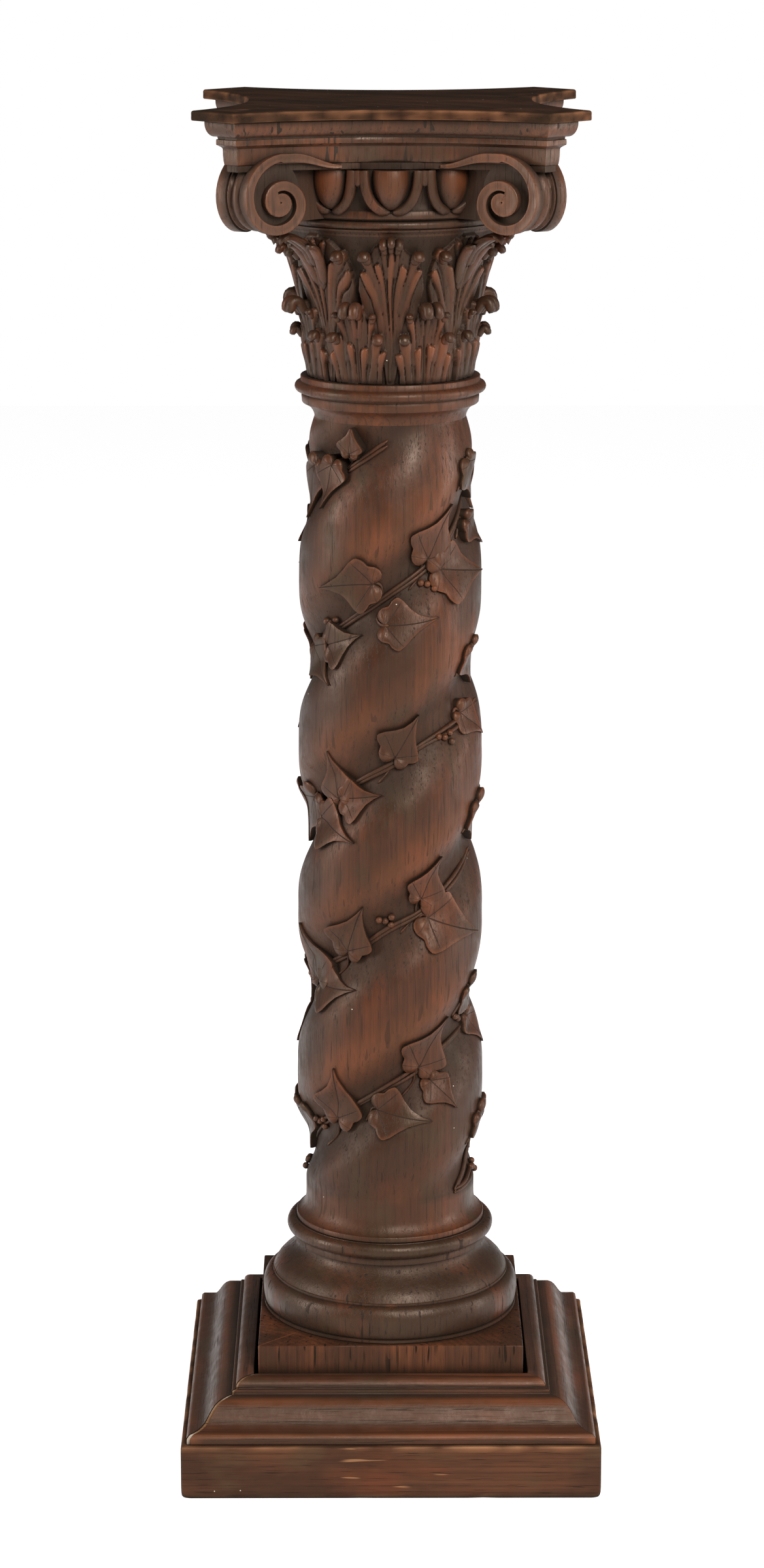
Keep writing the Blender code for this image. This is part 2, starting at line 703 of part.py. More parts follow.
def on_hollow(along, z, sink):
    """A point on the face of a volute, by its length along the hollowed front side."""
    share = (along - VOLUTE_STEM_ALONG) / (VOLUTE_EYE_ALONG + VOLUTE_RADIUS - VOLUTE_STEM_ALONG)
    inset = VOLUTE_STEM_INSET + (VOLUTE_CORNER_INSET - VOLUTE_STEM_INSET) * share
    radius = HOLLOW_RADIUS + inset + sink
    turn = along / (HOLLOW_RADIUS + inset)
    return Vector((radius * math.sin(turn), radius * math.cos(turn) - HOLLOW_CENTRE, z))


def spiral_reach(swing):
    """Distance from the eye to the outer edge of the ribbon, by the turn from its top."""
    return VOLUTE_RADIUS * VOLUTE_TIGHTENING ** (swing / 90)


def spiral_point(swing, reach):
    turn = math.radians(swing)
    along = VOLUTE_EYE_ALONG + reach * math.sin(turn)
    return along, CAPITAL_Z + VOLUTE_EYE_HEIGHT + reach * math.cos(turn)


def volute_ribbon():
    """The raised scroll on one face of a volute, with its stem along the fascia."""
    eye_top = CAPITAL_Z + VOLUTE_EYE_HEIGHT + VOLUTE_RADIUS
    stem_z = CAPITAL_Z + CAPITAL_HEIGHT - VOLUTE_STEM_WIDTH / 2
    run = VOLUTE_EYE_ALONG - VOLUTE_STEM_ALONG
    pairs = []
    swell = [(share, VOLUTE_RIBBON * width) for share, width in VOLUTE_SWELL]
    for share, width in [(0.0, VOLUTE_STEM_WIDTH)] + swell:
        rise = math.sin(math.pi / 2 * min(1.0, share * VOLUTE_RISE)) ** 2
        z = stem_z + (eye_top - stem_z) * rise
        along = VOLUTE_STEM_ALONG + run * share
        pairs.append(((along, z), (along, z - width)))
    first, step, count = FIRST_WINDING
    swings = [first + step * i for i in range(count)]
    first, step, count = EYE_WINDING
    swings += [first + step * i for i in range(count)]
    for swing in swings:
        outer = spiral_reach(swing)
        inner = outer - VOLUTE_RIBBON if swing <= first else VOLUTE_EYE_HOLE
        pairs.append((spiral_point(swing, outer), spiral_point(swing, inner)))
    bm = bmesh.new()
    rings = []
    for outer, inner in pairs:
        back = VOLUTE_RELIEF + VOLUTE_BITE
        rings.append([on_hollow(*outer, 0.0), on_hollow(*inner, 0.0),
                      on_hollow(*inner, back), on_hollow(*outer, back)])
    add_loft(bm, rings)
    return bm


def mirrored_in_diagonal(point):
    """The same point on the neighbouring side: the mirror in the front right diagonal."""
    return Vector((-point.y, -point.x, point.z))


def volute_roll():
    """The roll between the two faces of a volute."""
    outline = []
    for swing in range(0, 360, ROLL_TURN):
        reach = spiral_reach(swing)
        if swing > 270:
            share = (swing - 270) / 90
            reach = spiral_reach(270) + (spiral_reach(0) - spiral_reach(270)) * share
        outline.append(spiral_point(swing, reach - VOLUTE_BAND_SINK))
    near = [on_hollow(along, z, VOLUTE_RELIEF) for along, z in outline]
    far = [mirrored_in_diagonal(point) for point in near]
    bm = bmesh.new()
    add_loft(bm, [near, far])
    return bm


def volute_web():
    """The block behind a volute, from the echinus out to the roll."""
    top = CAPITAL_Z + CAPITAL_HEIGHT - SLAB_THICKNESS / 2
    bm = bmesh.new()
    size = (WEB_REACH - BELL_FOOT_RADIUS, WEB_THICKNESS, WEB_HEIGHT)
    place = (Matrix.Rotation(math.radians(315), 4, "Z")
             @ Matrix.Translation(((WEB_REACH + BELL_FOOT_RADIUS) / 2, 0, top - WEB_HEIGHT / 2))
             @ Matrix.Diagonal((*size, 1)))
    bmesh.ops.create_cube(bm, size=1, matrix=place)
    return bm


def capital_slab():
    bm = bmesh.new()
    top = CAPITAL_Z + CAPITAL_HEIGHT
    add_loft(bm, [hollow_plan(SLAB_INSET, z, 4) for z in (top - SLAB_THICKNESS, top)])
    return bm


def capital():
    body = make_object("capital", capital_core(), OAK_BROWN, 0.40)
    carving = new_group("capital_carving")
    for number in range(LEAF_TIER_COUNT):
        angle = (number + 0.5) * 360 / LEAF_TIER_COUNT
        leaf = acanthus(angle, 0.0, LOWER_LEAF_HEIGHT, LOWER_LEAF_WIDTH,
                        LOWER_LEAF_LEAN, LOWER_LEAF_CURL)
        hidden_operand(f"lower_leaf_{number}", leaf, carving)
        lean = CORNER_LEAF_LEAN if number % 2 else UPPER_LEAF_LEAN
        width = CORNER_LEAF_WIDTH if number % 2 else UPPER_LEAF_WIDTH
        leaf = acanthus(number * 360 / LEAF_TIER_COUNT, UPPER_LEAF_FOOT, UPPER_LEAF_HEIGHT,
                        width, lean, UPPER_LEAF_CURL)
        hidden_operand(f"upper_leaf_{number}", leaf, carving)
    for number in range(EGG_COUNT):
        hidden_operand(f"egg_{number}", egg(number), carving)
        hidden_operand(f"dart_{number}", dart(number), carving)
    for quarter in range(4):
        turn = Matrix.Rotation(quarter * math.pi / 2, 4, "Z")
        parts = [volute_roll(), volute_web(), volute_ribbon(), volute_ribbon()]
        for vert in parts[-1].verts:
            vert.co = mirrored_in_diagonal(vert.co)
        for number, part in enumerate(parts):
            bmesh.ops.transform(part, matrix=turn, verts=part.verts)
            hidden_operand(f"volute_{quarter}_{number}", part, carving)
    hidden_operand("capital_slab", capital_slab(), carving)
    union_with(body, carving)
    clear_abacus(body)
    merge_flats(body)


def hollow_plan(inset, z, steps=HOLLOW_STEPS):
    """The plan of the top, drawn in by an even inset: four hollowed sides, cut corners."""
    radius = HOLLOW_RADIUS + inset
    corner = (BOARD_WIDTH - BOARD_CORNER_CUT) - inset * math.sqrt(2)
    # Where the arc meets the cut corner: x + y = corner, x^2 + (centre - y)^2 = radius^2
    rest = HOLLOW_CENTRE - corner
    horn = (-rest + math.sqrt(2 * radius ** 2 - rest ** 2)) / 2
    end = math.asin(horn / radius)
    points = []
    for quarter in range(4):
        turn = Matrix.Rotation(quarter * math.pi / 2, 3, "Z")
        for i in range(steps + 1):
            swing = -end + 2 * end * i / steps
            point = Vector((radius * math.sin(swing),
                            radius * math.cos(swing) - HOLLOW_CENTRE, z))
            points.append(turn @ point)
    return points


def abacus_sections():
    """Insets and heights of the abacus moulding, from its bottom up."""
    bead = ABACUS_Z + FASCIA_HEIGHT + COVE_HEIGHT
    ovolo = ABACUS_Z + ABACUS_HEIGHT - OVOLO_HEIGHT
    sections = [(FASCIA_INSET, ABACUS_Z),
                (FASCIA_INSET - FASCIA_HOLLOW, ABACUS_Z + FASCIA_HOLLOW_TOP),
                (BEAD_INSET, bead),
                (BEAD_INSET, bead + BEAD_HEIGHT),
                (QUIRK_INSET, ovolo - QUIRK_HEIGHT)]
    for swing in (0, 30, 60, 90):
        turn = math.radians(swing)
        inset = OVOLO_FOOT_INSET - (OVOLO_FOOT_INSET - OVOLO_TOP_INSET) * math.sin(turn)
        sections.append((inset, ovolo + (OVOLO_HEIGHT - OVOLO_EDGE) * (1 - math.cos(turn))))
    sections.append((OVOLO_TOP_INSET, ABACUS_Z + ABACUS_HEIGHT))
    return sections


def abacus():
    bm = bmesh.new()
    add_loft(bm, [hollow_plan(inset, z) for inset, z in abacus_sections()])
    make_object("abacus", bm, OAK_RED, 0.38)


def clear_abacus(body):
    """Cut the tops of the volutes free of the fascia that they stand in front of."""
    bm = bmesh.new()
    add_loft(bm, [hollow_plan(FASCIA_INSET - FASCIA_HOLLOW - GAP, z)
                  for z in (ABACUS_Z - GAP / 2, ABACUS_Z + ABACUS_HEIGHT)])
    group = new_group("cutters")
    cutter = hidden_operand("fascia_space", bm, group)
    trim = body.modifiers.new("fascia", "BOOLEAN")
    trim.operation = "DIFFERENCE"
    trim.object = cutter
    trim.solver = "EXACT"


def board():
    bm = bmesh.new()
    top = BOARD_Z + BOARD_THICKNESS
    add_loft(bm, [hollow_plan(BOARD_LOWER_ARRIS, BOARD_Z), hollow_plan(0.0, BOARD_Z + BOARD_ARRIS),
                  hollow_plan(0.0, top - BOARD_ARRIS), hollow_plan(BOARD_ARRIS, top)])
    make_object("top_board", bm, OAK_DARK, 0.34)


def main():
    for thing in list(bpy.data.objects):
        bpy.data.objects.remove(thing, do_unlink=True)
    block()
    plinth()
    frame_strips()
    foot()
    shaft()
    capital()
    abacus()
    board()


main()
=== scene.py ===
# %% [markdown]
# # A carved oak pedestal
# This lesson dresses a pedestal of about 1880: a square base, a twisted shaft wound with
# ivy, a capital with leaves and corner volutes, and a thin top board with hollowed sides.
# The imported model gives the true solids. Each step here makes one turned or carved piece
# finer than its solid, in the same place, and gives it its finish of old waxed oak.

# %% Open the frame
import math

import bmesh
import bpy
import numpy as np
from mathutils import Matrix, Vector, noise


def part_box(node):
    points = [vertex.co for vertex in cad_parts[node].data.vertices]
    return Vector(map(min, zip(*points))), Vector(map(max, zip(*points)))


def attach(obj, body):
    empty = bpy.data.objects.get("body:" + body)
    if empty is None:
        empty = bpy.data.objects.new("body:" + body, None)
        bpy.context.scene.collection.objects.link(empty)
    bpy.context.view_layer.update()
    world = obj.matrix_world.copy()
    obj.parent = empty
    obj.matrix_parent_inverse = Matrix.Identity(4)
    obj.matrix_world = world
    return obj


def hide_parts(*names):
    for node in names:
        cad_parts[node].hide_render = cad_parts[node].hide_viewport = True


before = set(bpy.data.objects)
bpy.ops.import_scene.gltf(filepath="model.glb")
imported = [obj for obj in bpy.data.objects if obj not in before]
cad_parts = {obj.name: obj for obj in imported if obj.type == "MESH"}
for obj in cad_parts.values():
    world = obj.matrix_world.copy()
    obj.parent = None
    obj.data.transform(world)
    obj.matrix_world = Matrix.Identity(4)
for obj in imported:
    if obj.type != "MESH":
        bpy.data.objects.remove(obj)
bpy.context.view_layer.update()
MM = 0.001
print("nodes:", sorted(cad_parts))

# %% [markdown]
# ## Heights of the seats
# A joiner stacks the pedestal from separate pieces. The script reads the height at which
# each one starts from the solids, so that nothing has to be fitted by eye.

# %% Seats
PLINTH_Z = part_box("square_plinth")[0][2]
FOOT_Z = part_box("turned_foot")[0][2]
SHAFT_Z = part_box("twisted_shaft")[0][2]
CAPITAL_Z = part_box("capital")[0][2]
ABACUS_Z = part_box("abacus")[0][2]
BOARD_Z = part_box("top_board")[0][2]
TOP_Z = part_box("top_board")[1][2]
print("seats in mm:", [round(z / MM, 1) for z in (PLINTH_Z, FOOT_Z, SHAFT_Z, CAPITAL_Z,
                                                 ABACUS_Z, BOARD_Z, TOP_Z)])

# %% [markdown]
# ## Old waxed oak
# The finish is a dark stain under a century of wax. Three things make it read as oak: the
# growth rings, which show as long loops where the carving cuts through them, the short dark
# pores that lie along the grain, and the dirt and rubbing that age adds, with painted shade in
# the hollows and painted light on the shaft. One material builder makes them all as solid
# patterns, so that the grain runs through the carving as it does in real wood, and a turn of
# the pattern lays the grain along the right axis.

# %% Small helpers for node trees
def add_node(tree, kind, **values):
    """A node with its sockets set by name; a tuple of node and output is a link."""
    node = tree.nodes.new(kind)
    for name, value in values.items():
        if hasattr(node, name) and name not in node.inputs:
            setattr(node, name, value)
            continue
        socket = node.inputs[name.replace("_", " ")] if name.replace("_", " ") in node.inputs \
            else node.inputs[name]
        if isinstance(value, tuple) and isinstance(value[0], bpy.types.Node):
            tree.links.new(value[0].outputs[value[1]], socket)
        else:
            socket.default_value = value
    return node


def ramp(tree, source, low, high, to_low=0.0, to_high=1.0):
    """Spread a value between two limits, with soft ends."""
    node = add_node(tree, "ShaderNodeMapRange", interpolation_type="SMOOTHSTEP",
                    Value=source, From_Min=low, From_Max=high, To_Min=to_low, To_Max=to_high)
    return node, "Result"


def sums(tree, operation, first, second=0.0, clamp=True):
    """One step of arithmetic on values or plain numbers, kept between 0 and 1 if asked."""
    node = tree.nodes.new("ShaderNodeMath")
    node.operation = operation
    node.use_clamp = clamp
    for socket, value in zip(node.inputs, (first, second)):
        if isinstance(value, tuple):
            tree.links.new(value[0].outputs[value[1]], socket)
        else:
            socket.default_value = value
    return node, "Value"


def blend_colours(tree, share, first, second, kind="MIX"):
    """Lay one colour over another by a share."""
    node = tree.nodes.new("ShaderNodeMix")
    node.data_type = "RGBA"
    node.blend_type = kind
    for socket, value in ((node.inputs[0], share), (node.inputs[6], first),
                          (node.inputs[7], second)):
        if isinstance(value, tuple) and isinstance(value[0], bpy.types.Node):
            tree.links.new(value[0].outputs[value[1]], socket)
        else:
            socket.default_value = value if not isinstance(value, tuple) else (*value, 1.0)
    return node, 2


print("node helpers ready")

# %% [markdown]
# Grain is noise that is drawn out along the tree. Rings, pores, streaks and clouds of stain
# differ only in how fine and how long they are, so one helper makes them all, and the other
# steps of the finish read the same few patterns.

# %% Patterns that follow the grain
GRAIN_TURNS = {"Z": (0.0, 0.0, 0.0), "X": (0.0, math.radians(90), 0.0),
               "Y": (math.radians(90), 0.0, 0.0)}


def grain_noise(tree, turned, stretch, scale=1.0, detail=1.0, roughness=0.5):
    """Noise drawn out along the grain."""
    drawn = add_node(tree, "ShaderNodeMapping", Vector=(turned, "Vector"), Scale=stretch)
    field = add_node(tree, "ShaderNodeTexNoise", Vector=(drawn, "Vector"), Scale=scale,
                     Detail=detail, Roughness=roughness)
    return field, 0


def grain_patterns(tree, turned, rings):
    """Growth rings as long loops, pores thick in their early wood, streaks and clouds."""
    along = add_node(tree, "ShaderNodeMapping", Vector=(turned, "Vector"),
                     Scale=(1.0, 1.0, 0.085))
    growth = add_node(tree, "ShaderNodeTexWave", Vector=(along, "Vector"), wave_type="RINGS",
                      rings_direction="Z", wave_profile="SAW", Scale=rings, Distortion=4.0,
                      Detail=3.0, Detail_Scale=0.9, Detail_Roughness=0.55)
    early = ramp(tree, (growth, "Fac"), 0.45, 1.0)
    pores = ramp(tree, grain_noise(tree, turned, (1050.0, 1050.0, 36.0)), 0.58, 0.66)
    pores = sums(tree, "MULTIPLY", pores, ramp(tree, early, 0.0, 0.7, 0.35, 1.0))
    streaks = ramp(tree, grain_noise(tree, turned, (420.0, 420.0, 7.0), 1.0, 3.0, 0.65),
                   0.30, 0.74)
    return {"early": early, "pores": pores, "streaks": streaks,
            "clouds": grain_noise(tree, turned, (1.0, 1.0, 0.40), 17.0, 4.0, 0.6),
            "stain": grain_noise(tree, turned, (1.0, 1.0, 0.40), 31.0, 3.0, 0.55)}


print("grain patterns ready")

# %% [markdown]
# The stain took unevenly: it is nearly black in the early wood and the pores, reddish where
# the wood was dense, and a little olive where wax has built up. It is worn to warm wood on
# the arrises, which the mesh tells by its pointed places and by the rub noted on its points.
# On the shaft the same warm colour is painted light on the flanks of the ridges that face down.

# %% Stain, rubbed places and painted light
def stain_colour(tree, grain, light, dark, red, olive, grime, figure):
    """Streaks over slow changes of the stain, then rings and pores in darker tones."""
    patches = ramp(tree, grain["clouds"], 0.36, 0.66)
    tone = sums(tree, "MULTIPLY", ramp(tree, grain["streaks"], 0.0, 1.0, 0.55, 1.0),
                ramp(tree, patches, 0.0, 1.0, 0.25, 1.0))
    colour = blend_colours(tree, tone, dark, light)
    blush = sums(tree, "MULTIPLY", ramp(tree, grain["stain"], 0.50, 0.68), patches)
    colour = blend_colours(tree, sums(tree, "MULTIPLY", blush, 0.60), colour, red)
    moss = ramp(tree, grain["stain"], 0.30, 0.46, 0.65, 0.0)
    colour = blend_colours(tree, moss, colour, olive)
    colour = blend_colours(tree, sums(tree, "MULTIPLY", grain["early"], figure), colour, dark)
    return blend_colours(tree, sums(tree, "MULTIPLY", grain["pores"], 0.66), colour, grime)


def rubbed_and_lit_share(tree, grain, wear_and_light, arris):
    """How far the stain is worn through on pointed edges, plus rub and painted light from the mesh.
    """
    edges = add_node(tree, "ShaderNodeNewGeometry")
    # The rub read here is wear, and on the shaft also painted light.
    rub = add_node(tree, "ShaderNodeAttribute", attribute_name="rub")
    worn = sums(tree, "MAXIMUM", ramp(tree, (edges, "Pointiness"), *arris), (rub, "Fac"))
    worn = sums(tree, "MULTIPLY", worn, ramp(tree, grain["stain"], 0.32, 0.58, 0.25, 1.0))
    return sums(tree, "MULTIPLY", worn, wear_and_light)


print("stain ready")

# %% [markdown]
# Dust and old wax lie in every hollow, and the hollows are also darkened as painted shade. A
# shader can find hollows by itself from how closed in a point is, and the mesh adds the ones
# that are known. Oak that has dried for a century also has short black cracks, the block has
# pale scrapes, and the veins of the ivy are cut as thin lines.

# %% Dirt and painted shade, cracks, scrapes and veins
def vein_lines(tree):
    """Thin cuts along the veins of an ivy leaf, from its own two coordinates."""
    along = (add_node(tree, "ShaderNodeAttribute", attribute_name="leaf_along"), "Fac")
    across = (add_node(tree, "ShaderNodeAttribute", attribute_name="leaf_across"), "Fac")
    across = sums(tree, "ABSOLUTE", across, clamp=False)
    lines = ramp(tree, across, 0.004, 0.013, 1.0, 0.0)
    lines = sums(tree, "MULTIPLY", lines, ramp(tree, along, 0.0, 0.02))
    for degrees, strength in ((54.0, 0.85), (104.0, 0.5)):
        turn = math.radians(degrees)
        aside = sums(tree, "SUBTRACT",
                     sums(tree, "MULTIPLY", across, math.cos(turn), clamp=False),
                     sums(tree, "MULTIPLY", along, math.sin(turn), clamp=False), clamp=False)
        aside = sums(tree, "ABSOLUTE", aside, clamp=False)
        branch = sums(tree, "MULTIPLY", ramp(tree, aside, 0.004, 0.012, 1.0, 0.0), strength)
        branch = sums(tree, "MULTIPLY", branch, ramp(tree, across, 0.30, 0.50, 1.0, 0.0))
        lines = sums(tree, "MAXIMUM", lines, branch)
    return lines


def short_marks(tree, turned, grain, stretch, limits, stain_limits, strength):
    """Short marks along the grain that come in groups: cracks or scrapes."""
    marks = ramp(tree, grain_noise(tree, turned, stretch, detail=limits[2]), *limits[:2])
    marks = sums(tree, "MULTIPLY", marks, strength)
    return sums(tree, "MULTIPLY", marks, ramp(tree, grain["stain"], *stain_limits))


def dirt_and_painted_shade(tree, turned, grain, reach, checks, lines):
    """Near black in the hollows, part wax and dust, part painted shade; drying cracks and veins."""
    # The occlusion darkens every hollow: painted shade, with the dirt that lies there.
    shade = add_node(tree, "ShaderNodeAmbientOcclusion", samples=5, Distance=reach)
    darkening = add_node(tree, "ShaderNodeAttribute", attribute_name="grime")
    dirt_and_shade = sums(tree, "MAXIMUM", ramp(tree, (shade, "AO"), 0.38, 0.90, 1.0, 0.0), (darkening, "Fac"))
    if checks:
        cracks = short_marks(tree, turned, grain, (330.0, 330.0, 26.0), (0.68, 0.71, 0.0),
                             (0.45, 0.55), checks)
        dirt_and_shade = sums(tree, "MAXIMUM", dirt_and_shade, cracks)
    if lines:
        dirt_and_shade = sums(tree, "MAXIMUM", dirt_and_shade, lines)
    return sums(tree, "MULTIPLY", dirt_and_shade, ramp(tree, grain["clouds"], 0.2, 0.6, 0.80, 0.97))


def pale_specks(tree, turned):
    """A few specks of old glue, plaster and chipped polish."""
    cells = add_node(tree, "ShaderNodeTexVoronoi", Vector=(turned, "Vector"), Scale=85.0)
    speck = ramp(tree, (cells, "Distance"), 0.030, 0.050, 1.0, 0.0)
    lucky = add_node(tree, "ShaderNodeSeparateColor", Color=(cells, "Color"))
    return sums(tree, "MULTIPLY", speck, ramp(tree, (lucky, 0), 0.93, 0.94))


print("dirt and marks ready")

# %% [markdown]
# Wax is smooth on the open faces and dull in pores and in the darkened hollows. The relief that
# is too fine to model, such as pores, raised grain and the ripple of the gouge, goes in as a
# bump of half a millimetre. The wood tints what it reflects, so the gleam is warm.

# %% The oak finish
SPECK_COLOUR = (0.45, 0.40, 0.33)
WARM_GLEAM = (1.0, 0.76, 0.61, 1.0)


def wax_dullness(tree, turned, grain, dirt_and_shade, sheen):
    smears = add_node(tree, "ShaderNodeTexNoise", Vector=(turned, "Vector"), Scale=60.0,
                      Detail=3.0, Roughness=0.65)
    gloss = ramp(tree, (smears, 0), 0.3, 0.7, sheen - 0.06, sheen + 0.10)
    gloss = sums(tree, "ADD", gloss, sums(tree, "MULTIPLY", grain["pores"], 0.20))
    return sums(tree, "ADD", gloss, sums(tree, "MULTIPLY", dirt_and_shade, 0.30))


def fine_relief(tree, turned, grain, lines):
    dents = add_node(tree, "ShaderNodeTexNoise", Vector=(turned, "Vector"), Scale=170.0,
                     Detail=2.0, Roughness=0.5)
    height = sums(tree, "MULTIPLY", (dents, 0), 0.40)
    height = sums(tree, "ADD", height, sums(tree, "MULTIPLY", grain["streaks"], 0.16))
    height = sums(tree, "ADD", height, 0.4)
    height = sums(tree, "SUBTRACT", height, sums(tree, "MULTIPLY", grain["pores"], 0.22))
    if lines:
        height = sums(tree, "SUBTRACT", height, sums(tree, "MULTIPLY", lines, 0.8))
    return add_node(tree, "ShaderNodeBump", Height=height, Strength=0.6, Distance=0.0006)


def oak(name, grain="Z", heart=(0.30, 0.16, 0.0), light=(0.078, 0.0235, 0.0092),
        dark=(0.026, 0.0100, 0.0048), red=(0.100, 0.0235, 0.0075), olive=(0.032, 0.0190, 0.0088),
        grime=(0.0065, 0.0038, 0.0021), rubbed=(0.22, 0.066, 0.022), sheen=0.42, reach=0.010,
        rings=55.0, wear_and_light=0.55, arris=(0.535, 0.64), shine=0.32, checks=0.0, figure=0.35,
        scuffs=0.0, veins=False):
    """Stained and waxed oak. Heart is where the middle of the tree lies, in metres."""
    material = bpy.data.materials.new(name)
    material.use_nodes = True
    tree = material.node_tree
    shader = tree.nodes["Principled BSDF"]
    shader.inputs["Specular IOR Level"].default_value = shine
    shader.inputs["Specular Tint"].default_value = WARM_GLEAM
    place = add_node(tree, "ShaderNodeTexCoord")
    turned = add_node(tree, "ShaderNodeMapping", Vector=(place, "Object"),
                      Rotation=GRAIN_TURNS[grain], Location=heart)
    patterns = grain_patterns(tree, turned, rings)
    lines = vein_lines(tree) if veins else None
    colour = stain_colour(tree, patterns, light, dark, red, olive, grime, figure)
    colour = blend_colours(tree, rubbed_and_lit_share(tree, patterns, wear_and_light, arris), colour, rubbed)
    dirt_and_shade = dirt_and_painted_shade(tree, turned, patterns, reach, checks, lines)
    # Hollows go near black here: dirt together with painted shade.
    colour = blend_colours(tree, dirt_and_shade, colour, grime)
    if scuffs:
        scrapes = short_marks(tree, turned, patterns, (260.0, 260.0, 22.0), (0.66, 0.72, 1.0),
                              (0.52, 0.62), scuffs)
        colour = blend_colours(tree, scrapes, colour, rubbed)
    colour = blend_colours(tree, pale_specks(tree, turned), colour, SPECK_COLOUR)
    dullness = wax_dullness(tree, turned, patterns, dirt_and_shade, sheen)
    relief = fine_relief(tree, turned, patterns, lines)
    tree.links.new(colour[0].outputs[colour[1]], shader.inputs["Base Color"])
    tree.links.new(dullness[0].outputs[dullness[1]], shader.inputs["Roughness"])
    tree.links.new(relief.outputs["Normal"], shader.inputs["Normal"])
    return material


print("oak ready")

# %% [markdown]
# Each piece was cut from its own plank, so each has its own heart, tone and wear. The top
# board is nearly black and dull, the block is browner and scraped, the volutes stand out and
# are paler and greyer, which paints the grey sheen of their faces, and the wood inside the open
# mitre was never stained at all.

# %% The oaks of the pedestal
SHAFT_OAK = oak("waxed_oak_shaft", heart=(0.16, 0.115, 0.0), rings=46.0, wear_and_light=0.34, checks=0.5,
                light=(0.068, 0.0190, 0.0068), dark=(0.021, 0.0078, 0.0036), figure=0.45,
                shine=0.36)
LEAF_OAK = oak("waxed_oak_ivy", heart=(0.16, 0.115, 0.0), rings=46.0, wear_and_light=0.60, reach=0.005,
               light=(0.056, 0.0180, 0.0080), arris=(0.60, 0.80), veins=True)
CAPITAL_OAK = oak("waxed_oak_capital", heart=(0.25, 0.20, 0.0), wear_and_light=0.85, reach=0.006,
                  light=(0.056, 0.0175, 0.0068), dark=(0.018, 0.0082, 0.0040),
                  grime=(0.0042, 0.0026, 0.0014),
                  rubbed=(0.15, 0.040, 0.013), arris=(0.62, 0.85), shine=0.38)
# The paler, greyer colours of the volutes are a painted sheen on their faces.
VOLUTE_OAK_PAINTED_SHEEN = oak("waxed_oak_volutes_painted_sheen", heart=(0.25, 0.20, 0.0), reach=0.007, shine=0.42,
                 light=(0.105, 0.0400, 0.0210), dark=(0.042, 0.0180, 0.0100),
                 arris=(0.62, 0.85), checks=0.5)
ABACUS_OAK = oak("waxed_oak_abacus", heart=(0.22, 0.31, 0.0), light=(0.092, 0.0300, 0.0125),
                 sheen=0.36, shine=0.42, checks=1.0)
BOARD_OAK = oak("waxed_oak_board", grain="X", heart=(0.9, 0.07, 0.0), wear_and_light=0.55, sheen=0.72,
                dark=(0.014, 0.0075, 0.0045), light=(0.030, 0.013, 0.007), shine=0.08,
                red=(0.034, 0.012, 0.006), olive=(0.015, 0.010, 0.006),
                rubbed=(0.25, 0.105, 0.048))
FOOT_OAK = oak("waxed_oak_foot", heart=(0.24, 0.17, 0.0), light=(0.054, 0.0190, 0.0085),
               dark=(0.020, 0.0098, 0.0050), checks=1.0, shine=0.38)
BASE_OAK = oak("waxed_oak_base", grain="X", heart=(0.10, 0.24, 0.0), rings=34.0, figure=0.85,
               light=(0.100, 0.0310, 0.0125), shine=0.40, wear_and_light=0.75)
SIDE_OAK = oak("waxed_oak_base_sides", grain="Y", heart=(0.24, 0.12, 0.0), rings=34.0,
               figure=0.80, light=(0.078, 0.0300, 0.0150), shine=0.55)
BLOCK_OAK = oak("waxed_oak_block", grain="X", heart=(0.31, 0.22, 0.0), sheen=0.55, shine=0.22,
                light=(0.088, 0.0310, 0.0135), olive=(0.062, 0.0330, 0.0150), wear_and_light=0.85,
                rubbed=(0.27, 0.125, 0.056), scuffs=0.75)
PLINTH_OAK = oak("waxed_oak_plinth", heart=(0.20, 0.24, 0.0), shine=0.22,
                 light=(0.112, 0.0360, 0.0145), dark=(0.026, 0.0115, 0.0064), checks=1.0)
BARE_OAK = oak("bare_oak_and_glue", grain="X", heart=(0.10, 0.24, 0.0), sheen=0.65, shine=0.1,
               light=(0.33, 0.165, 0.075), dark=(0.15, 0.070, 0.032), red=(0.28, 0.115, 0.045),
               olive=(0.16, 0.10, 0.055), rubbed=(0.62, 0.56, 0.46), wear_and_light=1.0)
print("finishes:", [m.name for m in bpy.data.materials if m.name.startswith("waxed")])

# %% [markdown]
# ## From bmesh to finished piece
# Every piece ends the same way: its doubles are merged, its faces are turned outwards, and
# it becomes an object at the origin that stands for its solid. One helper does this, and
# prints how many triangles the piece has.

# %% Finish a piece
TOUCHING = 2e-6


def finish_piece(name, bm, finish, node, smooth=38):
    """Make the work an object that takes the place of its solid."""
    bmesh.ops.remove_doubles(bm, verts=bm.verts, dist=TOUCHING)
    bmesh.ops.recalc_face_normals(bm, faces=bm.faces)
    mesh = bpy.data.meshes.new(name)
    bm.to_mesh(mesh)
    bm.free()
    mesh.shade_smooth()
    mesh.set_sharp_from_angle(angle=math.radians(smooth))
    mesh.materials.append(finish)
    piece = bpy.data.objects.new(name, mesh)
    bpy.context.scene.collection.objects.link(piece)
    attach(piece, "root")
    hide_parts(node)
    triangles = sum(len(face.vertices) - 2 for face in mesh.polygons)
    print(f"{name}: {triangles} triangles")
    return piece


def new_work():
    """An empty bmesh that notes on each point its rub and painted light, dirt and painted shade."""
    bm = bmesh.new()
    bm.verts.layers.float.new("rub")
    bm.verts.layers.float.new("grime")
    return bm


def mark(bm, verts, rub=0.0, grime=0.0):
    """Note rub and painted light, dirt and painted shade on some vertices, for the finish to read.
    """
    for layer_name, value in (("rub", rub), ("grime", grime)):
        layer = bm.verts.layers.float[layer_name]
        for number, vert in enumerate(verts):
            vert[layer] = value[number] if hasattr(value, "__len__") else value


